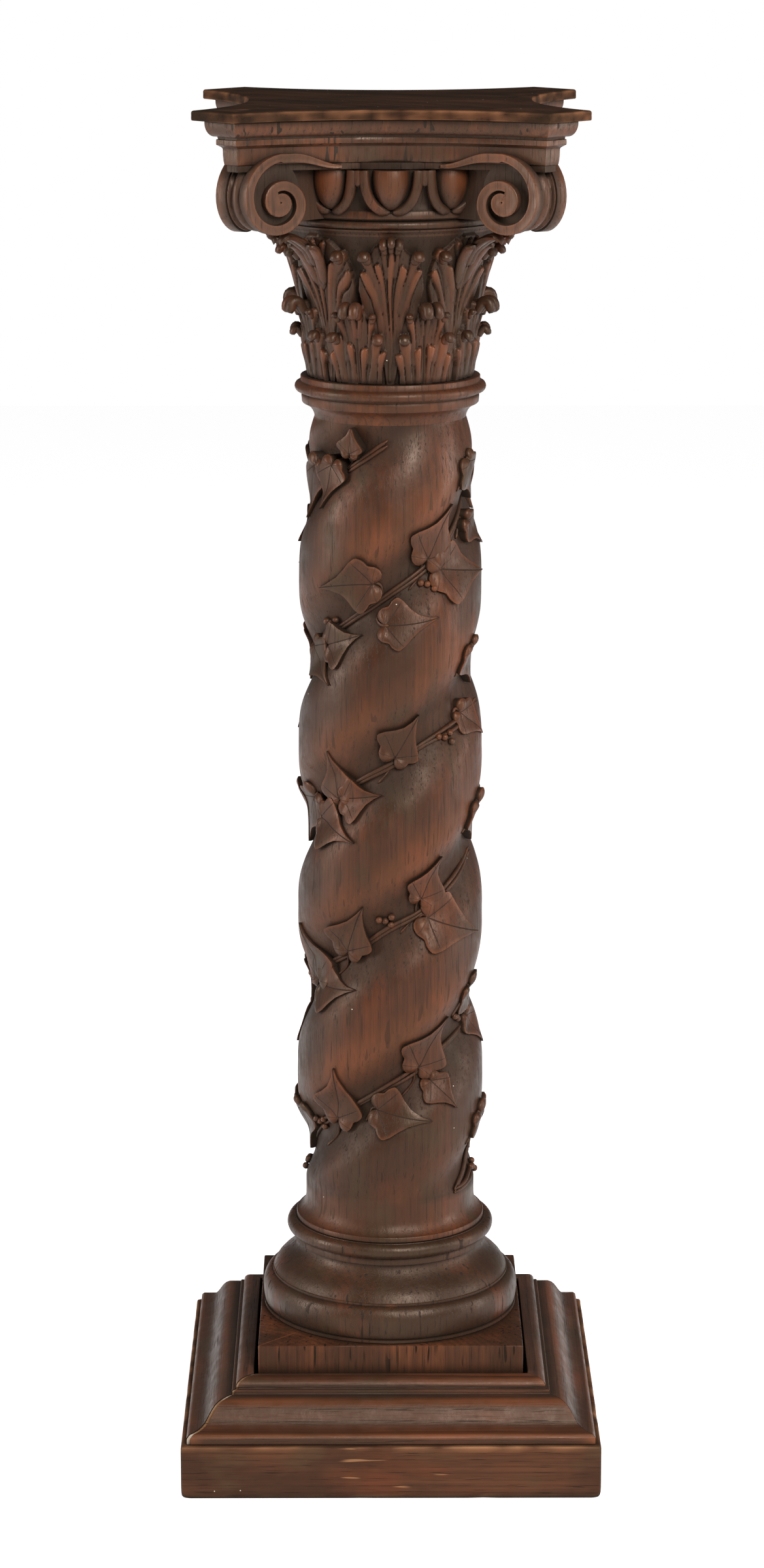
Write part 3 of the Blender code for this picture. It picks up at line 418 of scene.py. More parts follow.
def waver(points, scale, seed=0.0):
    """Soft noise from -1 to 1 at each point, with bumps about 1 / scale metres across."""
    return np.array([noise.noise(Vector(p) * scale + Vector((seed, seed, seed)))
                     for p in points])


def add_work(bm, part):
    """Add a smaller work to a larger one and let go of the smaller."""
    mesh = bpy.data.meshes.new("part_of_work")
    part.to_mesh(mesh)
    part.free()
    bm.from_mesh(mesh)
    bpy.data.meshes.remove(mesh)


def places(bm):
    return np.array([vert.co[:] for vert in bm.verts])


def put(bm, points):
    for vert, point in zip(bm.verts, points):
        vert.co = point


print("finishing helpers ready")

# %% [markdown]
# ## Raising a plan
# The base block, the abacus and the top board are all one plan that changes a little as it
# rises. A plan could be drawn as a curve and extruded once, but its arrises would be sharp
# everywhere. Here one face is extruded again and again, and each new outline is drawn in or
# let out, so that the same helper gives rounded arrises, mouldings and worn edges.

# %% Raise a plan outline by outline
def raise_plan(bm, outlines):
    """Extrude a face through outlines with equal numbers of points."""
    verts = [bm.verts.new(point) for point in outlines[0]]
    made = list(verts)
    cap = bm.faces.new(verts)
    for step, outline in enumerate(outlines[1:]):
        grown = bmesh.ops.extrude_face_region(bm, geom=[cap])["geom"]
        if step:
            bm.faces.remove(cap)
        cap = next(item for item in grown if isinstance(item, bmesh.types.BMFace))
        for vert, point in zip(cap.verts, outline):
            vert.co = point
        made += list(cap.verts)
    return made


def quarter_round(start, end, steps, fullness=1.0):
    """Pairs between two corners of a section, along a quarter of an ellipse."""
    pairs = []
    for i in range(steps + 1):
        turn = math.pi / 2 * i / steps
        pairs.append((start[0] + (end[0] - start[0]) * math.sin(turn) ** fullness,
                      start[1] + (end[1] - start[1]) * (1 - math.cos(turn))))
    return pairs


print("plan helper ready")

# %% [markdown]
# ## Top board and abacus
# The top is a thin board with hollowed sides and cut corners. Under it the abacus follows
# the same plan: an ovolo, a narrow quirk, a fillet, a cove and a deep fascia. The plan is
# the outline of the board drawn in by an even amount, so that every member of the moulding
# keeps its width round the horns.

# %% The hollowed plan
BOARD_WIDTH = 0.3017
CORNER_CUT = 0.0327
HOLLOW = 0.0398
HORN = BOARD_WIDTH / 2 - CORNER_CUT
HOLLOW_RADIUS = (HORN ** 2 + HOLLOW ** 2) / (2 * HOLLOW)
HOLLOW_CENTRE = BOARD_WIDTH / 2 - HOLLOW + HOLLOW_RADIUS


def hollow_plan(inset, z, steps=34, corner_steps=8):
    """Four hollowed sides and four cut corners, drawn in by an even inset."""
    radius = HOLLOW_RADIUS + inset
    rest = HOLLOW_CENTRE - (BOARD_WIDTH - CORNER_CUT) + inset * math.sqrt(2)
    horn = (-rest + math.sqrt(2 * radius ** 2 - rest ** 2)) / 2
    end = math.asin(horn / radius)
    points = []
    for quarter in range(4):
        turn = Matrix.Rotation(quarter * math.pi / 2, 3, "Z")
        side = [Vector((radius * math.sin(swing), radius * math.cos(swing) - HOLLOW_CENTRE, z))
                for swing in np.linspace(-end, end, steps + 1)]
        corner = Vector((-side[-1].y, -side[-1].x, z))
        side += [side[-1].lerp(corner, share)
                 for share in np.linspace(0, 1, corner_steps + 2)[1:-1]]
        points += [turn @ point for point in side]
    return points


def nick_arrises(bm, bites, deepest=0.0009, scale=95.0, seed=3.0):
    """Press small dents into the arrises named by their heights."""
    points = places(bm)
    rough = waver(points, scale, seed) + 0.5 * waver(points, scale * 2.7, seed + 9.0)
    near = np.zeros(len(points))
    for height, span in bites:
        near = np.maximum(near, np.clip(1 - np.abs(points[:, 2] - height) / span, 0, 1))
    bite = np.clip(rough - 0.22, 0, 0.8) * near * deepest * 2
    flat = np.hypot(points[:, 0], points[:, 1])
    points[:, 0] -= points[:, 0] / flat * bite
    points[:, 1] -= points[:, 1] / flat * bite
    put(bm, points)
    return near, rough


print("deepest point of a hollowed side, mm from the middle:",
      round((HOLLOW_CENTRE - HOLLOW_RADIUS) / MM, 1))

# %% [markdown]
# The board is thin and has been knocked about: its edge is rounded and dented, and its stain
# is worn through in places along the edge.

# %% The top board
section = [(1.4, 0.0), (0.5, 0.15), (0.15, 0.5), (0.0, 1.2), (0.0, 2.6), (0.05, 4.2),
           (0.0, 5.6), (0.1, 6.5), (0.5, 7.25), (1.2, 7.65), (2.6, 7.8), (6.0, 7.8),
           (14.0, 7.8), (28.0, 7.8)]
bm = new_work()
raise_plan(bm, [hollow_plan(inset * MM, BOARD_Z + rise * MM) for inset, rise in section])
near, rough = nick_arrises(bm, ((BOARD_Z + 0.0066, 0.0022), (BOARD_Z + 0.0004, 0.0010)), 0.0011)
side = places(bm)[:, 2] < BOARD_Z + 0.0074
edge_wear = np.clip(0.16 + 0.60 * rough, 0, 1) * side
edge_wear += np.clip(0.4 * near + 0.5 * rough, 0, 1) * near
mark(bm, bm.verts, rub=list(np.clip(edge_wear, 0, 1)))
finish_piece("worn_top_board", bm, BOARD_OAK, "top_board")

# %% [markdown]
# The abacus could be swept along the plan as a profile, but a sweep pinches at the horns.
# Drawing the whole plan in or out at each height keeps every member even round them. The
# quirk under the ovolo and the cove are darkened.

# %% The abacus
section = [(19.2, 0.0), (18.9, 0.5), (18.5, 3.0), (18.2, 7.0), (18.15, 10.5), (18.1, 11.6),
           (17.9, 12.4), (17.0, 13.3), (15.6, 14.2), (14.6, 14.75), (14.35, 14.9),
           (14.25, 15.4), (14.2, 17.0), (14.25, 18.8), (14.45, 19.1), (15.1, 19.2),
           (15.2, 20.0), (15.0, 20.9)]
section += quarter_round((13.4, 21.1), (7.55, 31.4), 12)
section += [(7.5, 32.0), (7.7, 32.5), (8.4, 32.7)]
bm = new_work()
raise_plan(bm, [hollow_plan(inset * MM, ABACUS_Z + rise * MM) for inset, rise in section])
nick_arrises(bm, ((ABACUS_Z + 0.0150, 0.0008), (ABACUS_Z + 0.0190, 0.0008)), 0.0007, 120.0, 5.0)
heights = (places(bm)[:, 2] - ABACUS_Z) / MM
darkening = np.clip(1 - np.abs(heights - 20.2) / 1.6, 0, 1) * 0.9
darkening = np.maximum(darkening, np.clip(1 - np.abs(heights - 12.6) / 1.4, 0, 1) * 0.55)
mark(bm, bm.verts, grime=list(darkening))
finish_piece("moulded_abacus", bm, ABACUS_OAK, "abacus", smooth=30)

# %% [markdown]
# ## Turned work
# A turner cuts the shaft and the foot on a lathe before anyone carves them. The same is
# done here: a line of points is the edge of the section, and spinning it once round the
# upright axis gives the turned blank. Carving then moves its points in and out.

# %% Spin a section
def turn_blank(section, steps):
    """Spin pairs of radius and height, given from the bottom up, into a closed skin."""
    line = [(0.0, section[0][1])] + list(section) + [(0.0, section[-1][1])]
    bm = new_work()
    verts = [bm.verts.new((radius, 0.0, z)) for radius, z in line]
    edges = [bm.edges.new(pair) for pair in zip(verts, verts[1:])]
    bmesh.ops.spin(bm, geom=verts + edges, cent=(0, 0, 0), axis=(0, 0, 1), angle=math.tau,
                   steps=steps, use_merge=True, use_duplicate=False)
    bmesh.ops.remove_doubles(bm, verts=bm.verts, dist=TOUCHING)
    return bm


def torus_run(neck, crest, z, height, steps=12, foot=None):
    """The rounded part of a torus moulding; foot is its lower neck where that differs."""
    foot = neck if foot is None else foot
    pairs = []
    for i in range(steps + 1):
        swing = math.pi * i / steps
        low = foot if swing < math.pi / 2 else neck
        pairs.append((low + (crest - low) * math.sin(swing) ** 0.9,
                      z + height * (1 - math.cos(swing)) / 2))
    return pairs


print("lathe ready")

# %% [markdown]
# ## The twisted shaft
# Two ridges climb the shaft as right-handed screws, one turn in 275 mm. The ridges are full
# and round and the valleys narrow, and both run out towards the neck and the foot. The
# radius at any angle and height follows from the distance to the nearest valley.

# %% Sizes of the twist
TWIST_LOW = SHAFT_Z + 0.0327
TWIST_HIGH = SHAFT_Z + 0.7005 - 0.0328
PITCH = 0.2750
FRONT_VALLEY = SHAFT_Z + 0.5386


def valley_angle(z):
    return math.radians(270) + math.tau * (z - FRONT_VALLEY) / PITCH


def crest_radius(z):
    share = (z - TWIST_LOW) / (TWIST_HIGH - TWIST_LOW)
    radius = 0.0768 + (0.0722 - 0.0768) * share
    below_neck = np.clip((TWIST_HIGH - z) / 0.130, 0, 1)
    radius = radius - (radius - 0.0602) * (1 - below_neck) ** 3.9
    above_foot = np.clip((z - TWIST_LOW) / 0.075, 0, 1)
    return radius - (radius - 0.0694) * (1 - above_foot) ** 2


def valley_depth(z):
    ease = np.clip(np.minimum((z - TWIST_LOW) / 0.045, (TWIST_HIGH - z) / 0.030), 0, 1)
    return 0.0160 * np.sin(np.pi / 2 * ease)


def twist_radius(angle, z):
    """Radius of the carved shaft at an angle and a height."""
    hollow = ((1 + np.cos(2 * (angle - valley_angle(z)))) / 2) ** 2
    return crest_radius(z) - valley_depth(z) * hollow


print("ridge and valley at mid height, mm:", round(crest_radius(0.5) / MM, 1),
      round((crest_radius(0.5) - valley_depth(0.5)) / MM, 1))

# %% [markdown]
# The blank is turned with the neck ring above and the flared rim below, and only the rows
# between them are then moved to the radius of the twist. The flank of each ridge that faces
# down is painted lighter and warmer, as light from below falls on it, and the flank that faces
# up a little darker, as painted shade. The valleys are darkened up to the middle of the flanks,
# partly as dust and partly as painted shade.

# %% Turn and twist the shaft
section = [(77.0, 0.0), (77.4, 0.4), (77.4, 3.6), (77.0, 4.2)]
section += [(76.4, 4.3), (74.6, 5.6), (72.6, 7.8), (71.0, 10.5), (70.0, 13.5), (69.5, 16.7),
            (69.4, 21.0), (69.4, 27.0)]
section = [(radius * MM, SHAFT_Z + rise * MM) for radius, rise in section]
TWIST_ROWS = 300
section += [(0.07, z) for z in np.linspace(TWIST_LOW, TWIST_HIGH, TWIST_ROWS)]
neck = [(60.25, 667.9), (60.6, 670.0), (61.6, 672.4), (63.2, 674.8), (65.6, 677.0),
        (69.0, 678.6), (69.6, 678.9), (70.2, 679.6), (70.6, 684.0), (70.5, 686.0),
        (70.1, 686.5), (70.3, 687.3), (73.2, 687.9), (74.6, 688.6), (75.6, 690.0),
        (76.0, 691.6), (75.7, 693.2), (74.9, 694.5), (73.4, 695.4), (71.5, 695.7),
        (71.2, 696.0), (71.3, 700.0), (71.0, 700.5)]
section += [(radius * MM, SHAFT_Z + rise * MM) for radius, rise in neck]
bm = turn_blank(section, 288)
points = places(bm)
angle = np.arctan2(points[:, 1], points[:, 0])
twisted = (points[:, 2] > TWIST_LOW - 1e-6) & (points[:, 2] < TWIST_HIGH + 1e-6)
radius = np.hypot(points[:, 0], points[:, 1])
radius[twisted] = twist_radius(angle, points[:, 2])[twisted]
radius[twisted] += 0.00022 * waver(points[twisted], 55.0)
points[:, 0] = radius * np.cos(angle)
points[:, 1] = radius * np.sin(angle)
put(bm, points)
# Painted light and shade: the flank of each ridge that faces down is lighter and warmer, the flank
# that faces up a little darker, and the valleys darker, partly dust, partly painted shade.
off = np.cos(2 * (angle - valley_angle(points[:, 2])))
lean = np.sin(2 * (angle - valley_angle(points[:, 2])))
darkening = np.clip(off + 0.30, 0, 1) * 0.62 + np.clip(lean, 0, 1) * 0.10
mark(bm, bm.verts, rub=list(np.where(twisted, np.clip(-lean, 0, 1) * 0.5, 0.3)),
     grime=list(np.where(twisted, darkening, 0.05)))
finish_piece("twisted_shaft_body", bm, SHAFT_OAK, "twisted_shaft")

# %% [markdown]
# ## Ivy leaves
# The leaves lie over the valleys, cut from the same wood. Each has a long pointed lobe, two
# pointed side lobes and two rounded ones beside the notch where its stem comes in. A leaf
# is a small disc, spun from a line of points that starts at the notch, so that its spokes
# run along the veins. The outline then pulls the rim out to the lobes, the face is bent over
# the shaft, and the last rings go down into the ground as the walls of the relief.

# %% The outline and face of an ivy leaf
IVY_OUTLINE = ((1.0, 0.0), (0.80, 0.055), (0.60, 0.155), (0.46, 0.28), (0.34, 0.42), (0.25, 0.49),
               (0.19, 0.50), (0.10, 0.42), (0.05, 0.34), (0.0, 0.33), (-0.08, 0.31), (-0.15, 0.25),
               (-0.18, 0.17), (-0.16, 0.09), (-0.10, 0.035), (-0.04, 0.01), (-0.03, 0.0))
IVY_RINGS = (0.0, 0.12, 0.26, 0.40, 0.54, 0.67, 0.78, 0.87, 0.94, 0.985, 1.0, 1.0, 0.95)
rim_line = []
for (a0, c0), (a1, c1) in zip(IVY_OUTLINE, IVY_OUTLINE[1:]):
    for share in np.linspace(0, 1, 12, endpoint=False):
        spot = (a0 + (a1 - a0) * share, c0 + (c1 - c0) * share)
        rim_line.append((math.atan2(spot[1], spot[0]), math.hypot(*spot)))
rim_line.append((math.pi, 0.03))
RIM_TURNS, RIM_REACHES = (np.array(column) for column in zip(*rim_line))


def ivy_reach(turn, lean):
    """Reach of the outline in one direction from the notch; lean favours one side lobe."""
    return np.interp(np.abs(turn), RIM_TURNS, RIM_REACHES) * (1 + lean * np.sin(turn))


def ivy_leaf(angle, height, heading, length, lean=0.0, bend=0.0, lift=0.0):
    """A leaf with its notch at an angle and a height, its tip along the heading."""
    spokes = 72
    bm = new_work()
    own = [bm.verts.layers.float.new(name) for name in ("leaf_along", "leaf_across")]
    line = [bm.verts.new((i + 1.0, 0.0, 0.0)) for i in range(len(IVY_RINGS) - 1)]
    edges = [bm.edges.new(pair) for pair in zip(line, line[1:])]
    bmesh.ops.spin(bm, geom=line + edges, cent=(0, 0, 0), axis=(0, 0, 1), angle=math.tau,
                   steps=spokes, use_merge=True, use_duplicate=False)
    rims = [edge for edge in bm.edges if edge.is_boundary]
    bmesh.ops.edgeloop_fill(bm, edges=[e for e in rims if e.verts[0].co.length < 1.5])
    bmesh.ops.edgeloop_fill(bm, edges=[e for e in rims if e.verts[0].co.length > 1.5])
    points = places(bm)
    turn = np.arctan2(points[:, 1], points[:, 0])
    ring = np.rint(np.hypot(points[:, 0], points[:, 1])).astype(int)
    # Bring the spokes closer together along the long lobe
    turn = turn - 0.40 * np.sin(turn) * (1 - 0.30 * np.cos(turn))
    share = np.array(IVY_RINGS)[ring]
    reach = share * ivy_reach(turn, lean) * length
    along = reach * np.cos(turn)
    across = reach * np.sin(turn) + bend * (reach / length) ** 2 * length * np.cos(turn)
    for vert, a, c in zip(bm.verts, reach * np.cos(turn) / length, reach * np.sin(turn) / length):
        vert[own[0]] = a
        vert[own[1]] = c
    way = math.radians(heading)
    right = along * math.cos(way) - across * math.sin(way)
    up = along * math.sin(way) + across * math.cos(way)
    spot_angle = math.radians(angle) + right / 0.068
    spot_z = np.clip(height + up, TWIST_LOW + 0.002, TWIST_HIGH - 0.002)
    ground = twist_radius(spot_angle, spot_z)
    # Two flat halves fold up a little from the midrib; the lobes by the notch cup over
    fold = np.abs(np.sin(turn)) * reach / length * 0.0030
    cup = np.exp(-((np.abs(turn) - 2.0) / 0.55) ** 2) * np.sin(np.pi * share) * 0.0022
    curl = np.clip((share - 0.80) / 0.20, 0, 1) ** 2 * -0.0005
    settled = ground + 0.0021
    bridge = 0.0640 + 0.0010 * np.cos(turn)
    face = (settled + bridge + np.sqrt((settled - bridge) ** 2 + 0.0015 ** 2)) / 2
    face = face + lift + fold + cup + curl
    last = len(IVY_RINGS) - 1
    wall, root = ring == last - 1, ring == last
    radius = np.where(wall, face - 0.0020, np.where(root, ground - 0.0030, face))
    radius = np.where(root, np.minimum(radius, face - 0.0035), radius)
    put(bm, np.column_stack((radius * np.cos(spot_angle), radius * np.sin(spot_angle), spot_z)))
    rub = np.where(wall | root, 0.0, np.clip((share - 0.88) / 0.10, 0, 1) * 0.40
                   + np.clip(cup / 0.0022, 0, 1) * 0.25)
    # The walls and roots of the leaf are painted dark, as the shade where the relief drops.
    mark(bm, bm.verts, rub=list(np.clip(rub, 0, 1)), grime=list(np.where(wall | root, 0.9, 0.0)))
    return bm


print("points on the rim line of a leaf:", len(rim_line))

# %% [markdown]
# The places below were read off one half of the shaft: the angle round it, the height of
# the notch in mm, the way the tip points (0 is to the right, 90 is up) and the length in
# mm. The twist has two starts, so the other half carries the same leaves half a turn on.

# %% Lay the ivy over the shaft
IVY_PLACES = (
    (240, 829, 81, 24), (225, 819, -100, 36), (204, 816, -103, 43), (297, 746, 64, 48),
    (307, 737, -7, 50), (257, 727, -179, 46), (267, 695, 1, 41), (219, 674, 17, 38),
    (202, 670, -40, 41), (273, 587, 58, 40), (230, 550, 101, 40), (234, 551, 7, 36),
    (213, 532, -12, 43), (292, 470, 68, 38), (297, 454, -26, 51), (238, 425, 73, 43),
    (210, 392, 0, 44), (291, 329, 64, 47), (299, 317, -49, 30), (229, 282, 78, 46),
    (261, 294, -13, 43), (332, 820, -55, 40), (340, 771, -39, 30), (334, 670, -58, 41),
    (330, 617, -42, 34), (340, 540, -60, 45), (333, 388, -42, 42), (345, 360, -59, 32),
    (340, 278, -56, 41), (200, 545, -118, 46), (206, 395, 102, 46), (188, 279, -101, 40),
)
rest = np.random.default_rng(7)
bm = new_work()
for name in ("leaf_along", "leaf_across"):
    bm.verts.layers.float.new(name)
for number, (angle, height, heading, length) in enumerate(IVY_PLACES):
    lean, bend = rest.uniform(-0.14, 0.14), rest.uniform(-0.12, 0.12)
    lift = rest.uniform(0.0, 0.0016)
    for half_turn in (0, 180):
        add_work(bm, ivy_leaf(angle + half_turn, height * MM, heading, length * MM, lean, bend,
                              lift))
finish_piece("ivy_leaves", bm, LEAF_OAK, "twisted_shaft", smooth=50)

# %% [markdown]
# ## Stretching a ball
# Vines, berries, the fingers of the acanthus and the rims round the eggs are all rounded
# strips with round ends. A strip could be a curve with a bevel, but a ball gives closed
# round ends at once: its poles go to the two ends of a path, and its rings are laid along
# it, each as wide and as thick as the strip is there.

# %% Lay a ball along a path
def smooth_path(points, count):
    """Points at even steps along a rounded line through the given ones."""
    points = np.array(points, dtype=float)
    lengths = np.concatenate(([0], np.cumsum(np.linalg.norm(np.diff(points, axis=0), axis=1))))
    slopes = np.gradient(points, lengths, axis=0)
    places_on = np.linspace(0, lengths[-1], count)
    result = []
    for place in places_on:
        i = min(int(np.searchsorted(lengths, place, side="right")) - 1, len(points) - 2)
        span = lengths[i + 1] - lengths[i]
        s = (place - lengths[i]) / span
        result.append((2 * s ** 3 - 3 * s ** 2 + 1) * points[i]
                      + (s ** 3 - 2 * s ** 2 + s) * span * slopes[i]
                      + (-2 * s ** 3 + 3 * s ** 2) * points[i + 1]
                      + (s ** 3 - s ** 2) * span * slopes[i + 1])
    return np.array(result)


def stretch_ball(bm, path, widths, thicknesses, rings=12, around=8, square=1.0,
                 rub=None, grime=0.0, groove=0.0):
    """Lay a ball along a path. Widths run round the shaft, thicknesses stand out from it."""
    line = smooth_path(path, rings + 1)
    ball = bmesh.ops.create_uvsphere(bm, u_segments=around, v_segments=rings, radius=1)["verts"]
    unit = np.array([vert.co[:] for vert in ball])
    step = np.rint(np.arccos(np.clip(-unit[:, 2], -1, 1)) / math.pi * rings).astype(int)
    size = np.maximum(np.hypot(unit[:, 0], unit[:, 1]), 1e-9)
    shares = np.linspace(0, 1, rings + 1)
    wide = np.interp(shares, np.linspace(0, 1, len(widths)), widths)
    thick = np.interp(shares, np.linspace(0, 1, len(thicknesses)), thicknesses)
    taper = np.minimum(1, np.sin(np.pi * np.clip(shares, 0, 1)) * 2.6) ** 0.6
    taper[0] = taper[-1] = 0.0
    tangent = np.gradient(line, axis=0)
    tangent /= np.linalg.norm(tangent, axis=1)[:, None]
    round_way = np.column_stack((-line[:, 1], line[:, 0], np.zeros(len(line))))
    round_way /= np.linalg.norm(round_way, axis=1)[:, None]
    across = round_way - tangent * np.sum(round_way * tangent, axis=1)[:, None]
    across /= np.linalg.norm(across, axis=1)[:, None]
    outward = np.cross(across, tangent)
    ux, uy = unit[:, 0] / size, unit[:, 1] / size
    px = np.sign(ux) * np.abs(ux) ** square
    py = np.sign(uy) * np.abs(uy) ** square
    dip = groove * np.exp(-(px / 0.35) ** 2) * (py > 0)
    spots = (line[step] + across[step] * (px * wide[step] * taper[step])[:, None]
             + outward[step] * ((py - dip) * thick[step] * taper[step])[:, None])
    for vert, spot in zip(ball, spots):
        vert.co = spot
    glow = np.zeros(len(ball)) if rub is None else np.clip(
        (py * 0.9 + 0.1) * np.interp(step / rings, np.linspace(0, 1, len(rub)), rub), 0, 1)
    mark(bm, ball, rub=list(glow), grime=grime)
    return ball


def polar(degrees, radius, z):
    """A point by its angle round the pedestal, its radius and its height, in mm."""
    turn = math.radians(degrees)
    return (radius * MM * math.cos(turn), radius * MM * math.sin(turn), z * MM)


print("ball helper ready")

# %% [markdown]
# Two thin stems run side by side up each hollow. Every leaf hangs on a stalk of its own, and
# berries stand in fours. The heights were read off the front half and are turned by half a
# turn for the other hollow.

# %% Vines and berries
VINES = (((236, 815), (250, 826), (268, 839)),
         ((181, 653), (210, 676), (237, 695), (270, 719), (301, 741), (330, 768), (359, 797)),
         ((181, 514), (215, 543), (251, 569), (270, 580), (293, 595), (325, 609), (359, 622)),
         ((181, 385), (215, 408), (250, 431), (270, 446), (291, 457), (322, 478), (359, 498)),
         ((181, 250), (205, 270), (233, 288), (270, 314), (286, 324), (315, 342), (359, 358)),
         ((318, 218), (332, 221), (345, 225), (352, 228)),
         ((318, 218), (335, 232), (348, 248), (359, 262)))
BERRIES = ((297, 726), (219, 691), (312, 600), (266, 452), (181, 389), (328, 364), (207, 273),
           (353, 227))


def shaft_point(degrees, z, proud):
    """A point a little proud of the carved shaft; degrees, mm and mm."""
    ground = float(twist_radius(math.radians(degrees), z * MM)) / MM
    return polar(degrees, ground + proud, z)


def vine_height(degrees):
    """Height of the nearest vines at an angle: they climb the valleys at their own pitch."""
    return [z for z in (815 + (degrees - 236) * 0.79 - 137.5 * turns for turns in range(-1, 6))]


bm = new_work()
for vine in VINES:
    for half_turn in (0, 180):
        for shift, proud in ((-2.0, 0.9), (1.6, 1.6)):
            path = [shaft_point(a + half_turn, z + shift + 0.7 * math.sin(a * 0.31 + shift), proud)
                    for a, z in vine]
            stretch_ball(bm, path, (1.4 * MM, 1.9 * MM, 1.5 * MM), (2.0 * MM,) * 2, rings=40,
                         around=8, rub=(0.2, 0.2), grime=0.35)
for angle, height, heading, length in IVY_PLACES:
    reach = min((abs(z - height), z) for z in vine_height(angle))[1] - height
    if abs(reach) > 26:
        reach = math.copysign(18, reach)
    for half_turn in (0, 180):
        way = math.radians(heading + 180)
        path = [shaft_point(angle + half_turn - 2 * math.cos(way), height, 3.0),
                shaft_point(angle + half_turn + 4 * math.cos(way), height + 4 * math.sin(way), 1.6),
                shaft_point(angle + half_turn + 7 * math.cos(way), height + reach * 0.55, 0.8),
                shaft_point(angle + half_turn + 4 * math.cos(way) + 0.6 * reach,
                            height + reach * 1.25, 0.4)]
        stretch_ball(bm, path, (1.0 * MM, 1.1 * MM), (1.5 * MM,) * 2, rings=12, around=8,
                     rub=(0.3, 0.2), grime=0.3)
for degrees, z in BERRIES:
    for half_turn in (0, 180):
        for da, dz in ((0, 0), (4.6, 3.0), (4.2, -3.4), (-4.4, 1.0)):
            middle = shaft_point(degrees + half_turn + da, z + dz, 2.0)
            berry = bmesh.ops.create_icosphere(bm, subdivisions=2, radius=2.9 * MM,
                                               matrix=Matrix.Translation(middle))["verts"]
            mark(bm, berry, rub=0.35)
finish_piece("ivy_vines", bm, SHAFT_OAK, "twisted_shaft", smooth=60)

# %% [markdown]
# ## The turned foot
# The foot is plain turned work: a fillet, a large torus, a hollow between two fillets and a
# smaller torus. Nothing here needs more than a good section and enough points in its curves.
# Old turned work is never quite round, so the skin wanders by a tenth of a millimetre.

# %% Turn the foot
section = [(104.2, 0.0), (104.5, 0.3), (104.5, 2.4), (103.6, 2.8)]
section += [(radius, z) for radius, z in torus_run(97.4, 105.3, 2.9, 26.3, 20, foot=102.6)]
section += [(97.5, 29.3), (97.5, 31.2), (96.9, 31.4), (96.5, 31.9)]
section += [(95.6, 34.0), (93.6, 37.2), (90.6, 40.4), (87.0, 43.4), (83.6, 46.0), (80.6, 48.8),
            (78.2, 51.6), (76.8, 54.4), (76.5, 56.4), (76.7, 57.7), (79.2, 58.0), (79.5, 58.3),
            (79.5, 63.4), (79.2, 63.8)]
section += [(radius, z) for radius, z in torus_run(79.0, 85.2, 63.9, 12.2, 12)]
section += [(78.8, 76.4)]
bm = turn_blank([(radius * MM, FOOT_Z + rise * MM) for radius, rise in section], 168)
points = places(bm)
wander = 1 + 0.0012 * waver(points, 22.0, 4.0)
points[:, :2] *= np.minimum(wander, 1.0003)[:, None]
put(bm, points)
rises = (points[:, 2] - FOOT_Z) / MM
# The hollow and the joint under the large torus are darkened.
darkening = np.clip(1 - np.abs(rises - 57.6) / 3.0, 0, 1) * 0.6
darkening = np.maximum(darkening, np.clip(1 - np.abs(rises - 2.9) / 1.2, 0, 1) * 0.8)
mark(bm, bm.verts, grime=list(darkening))
finish_piece("turned_foot_fine", bm, FOOT_OAK, "turned_foot")

# %% [markdown]
# ## Plinth and base block
# Both are square and thick. Their corners have been knocked and rounded by a century of
# mops and boots, most of all near the floor. The square plan is given extra points beside
# its corners, so that they can be rounded and dented.

# %% A square plan with rounded corners
def square_plan(half, z, corner=1.2 * MM, side_steps=26, corner_steps=5):
    points = []
    for quarter in range(4):
        turn = Matrix.Rotation(quarter * math.pi / 2, 3, "Z")
        run = half - corner
        side = [Vector((x, -half, z)) for x in np.linspace(-run, run, side_steps + 1)]
        for i in range(1, corner_steps):
            swing = math.pi / 2 * i / corner_steps
            side.append(Vector((run + corner * math.sin(swing),
                                -run - corner * math.cos(swing), z)))
        points += [turn @ point for point in side]
    return points


bm = new_work()
levels = [(0.6, 0.0, 1.0), (0.1, 0.4, 1.0), (0.0, 1.2, 1.0), (0.0, 12.0, 1.0), (0.0, 24.0, 1.0),
          (0.0, 36.0, 1.0), (0.0, 48.0, 1.0), (0.0, 58.0, 1.0), (0.0, 61.4, 1.0),
          (0.15, 62.1, 1.0), (0.6, 62.4, 1.0), (1.6, 62.5, 1.0), (8.0, 62.5, 1.0),
          (60.0, 62.5, 1.0)]
raise_plan(bm, [square_plan(107.5 * MM - inset * MM, PLINTH_Z + rise * MM, corner * MM)
                for inset, rise, corner in levels])
nick_arrises(bm, ((PLINTH_Z + 0.0621, 0.0012),), 0.0006, 70.0, 8.0)
finish_piece("plinth_block", bm, PLINTH_OAK, "square_plinth")

bm = new_work()
levels = [(4.0, 0.0, 6.0), (1.8, 0.15, 6.0), (0.9, 0.8, 5.0), (0.35, 2.2, 4.0), (0.1, 5.0, 3.0),
          (0.0, 9.0, 2.4), (0.0, 16.0, 2.0), (0.0, 24.0, 2.0), (0.0, 32.0, 2.0), (0.0, 39.0, 2.0),
          (0.05, 42.6, 2.2), (0.4, 43.8, 2.6), (1.0, 44.25, 3.0), (2.2, 44.4, 3.0),
          (9.0, 44.4, 3.0), (60.0, 44.4, 3.0)]
raise_plan(bm, [square_plan(168.6 * MM - inset * MM, rise * MM, corner * MM)
                for inset, rise, corner in levels])
near, rough = nick_arrises(bm, ((0.0438, 0.0020), (0.0, 0.0040)), 0.0010, 60.0, 2.0)
mark(bm, bm.verts, rub=list(np.clip(near * (0.45 + 1.2 * rough), 0, 1)))
finish_piece("base_block_worn", bm, BLOCK_OAK, "base_block")

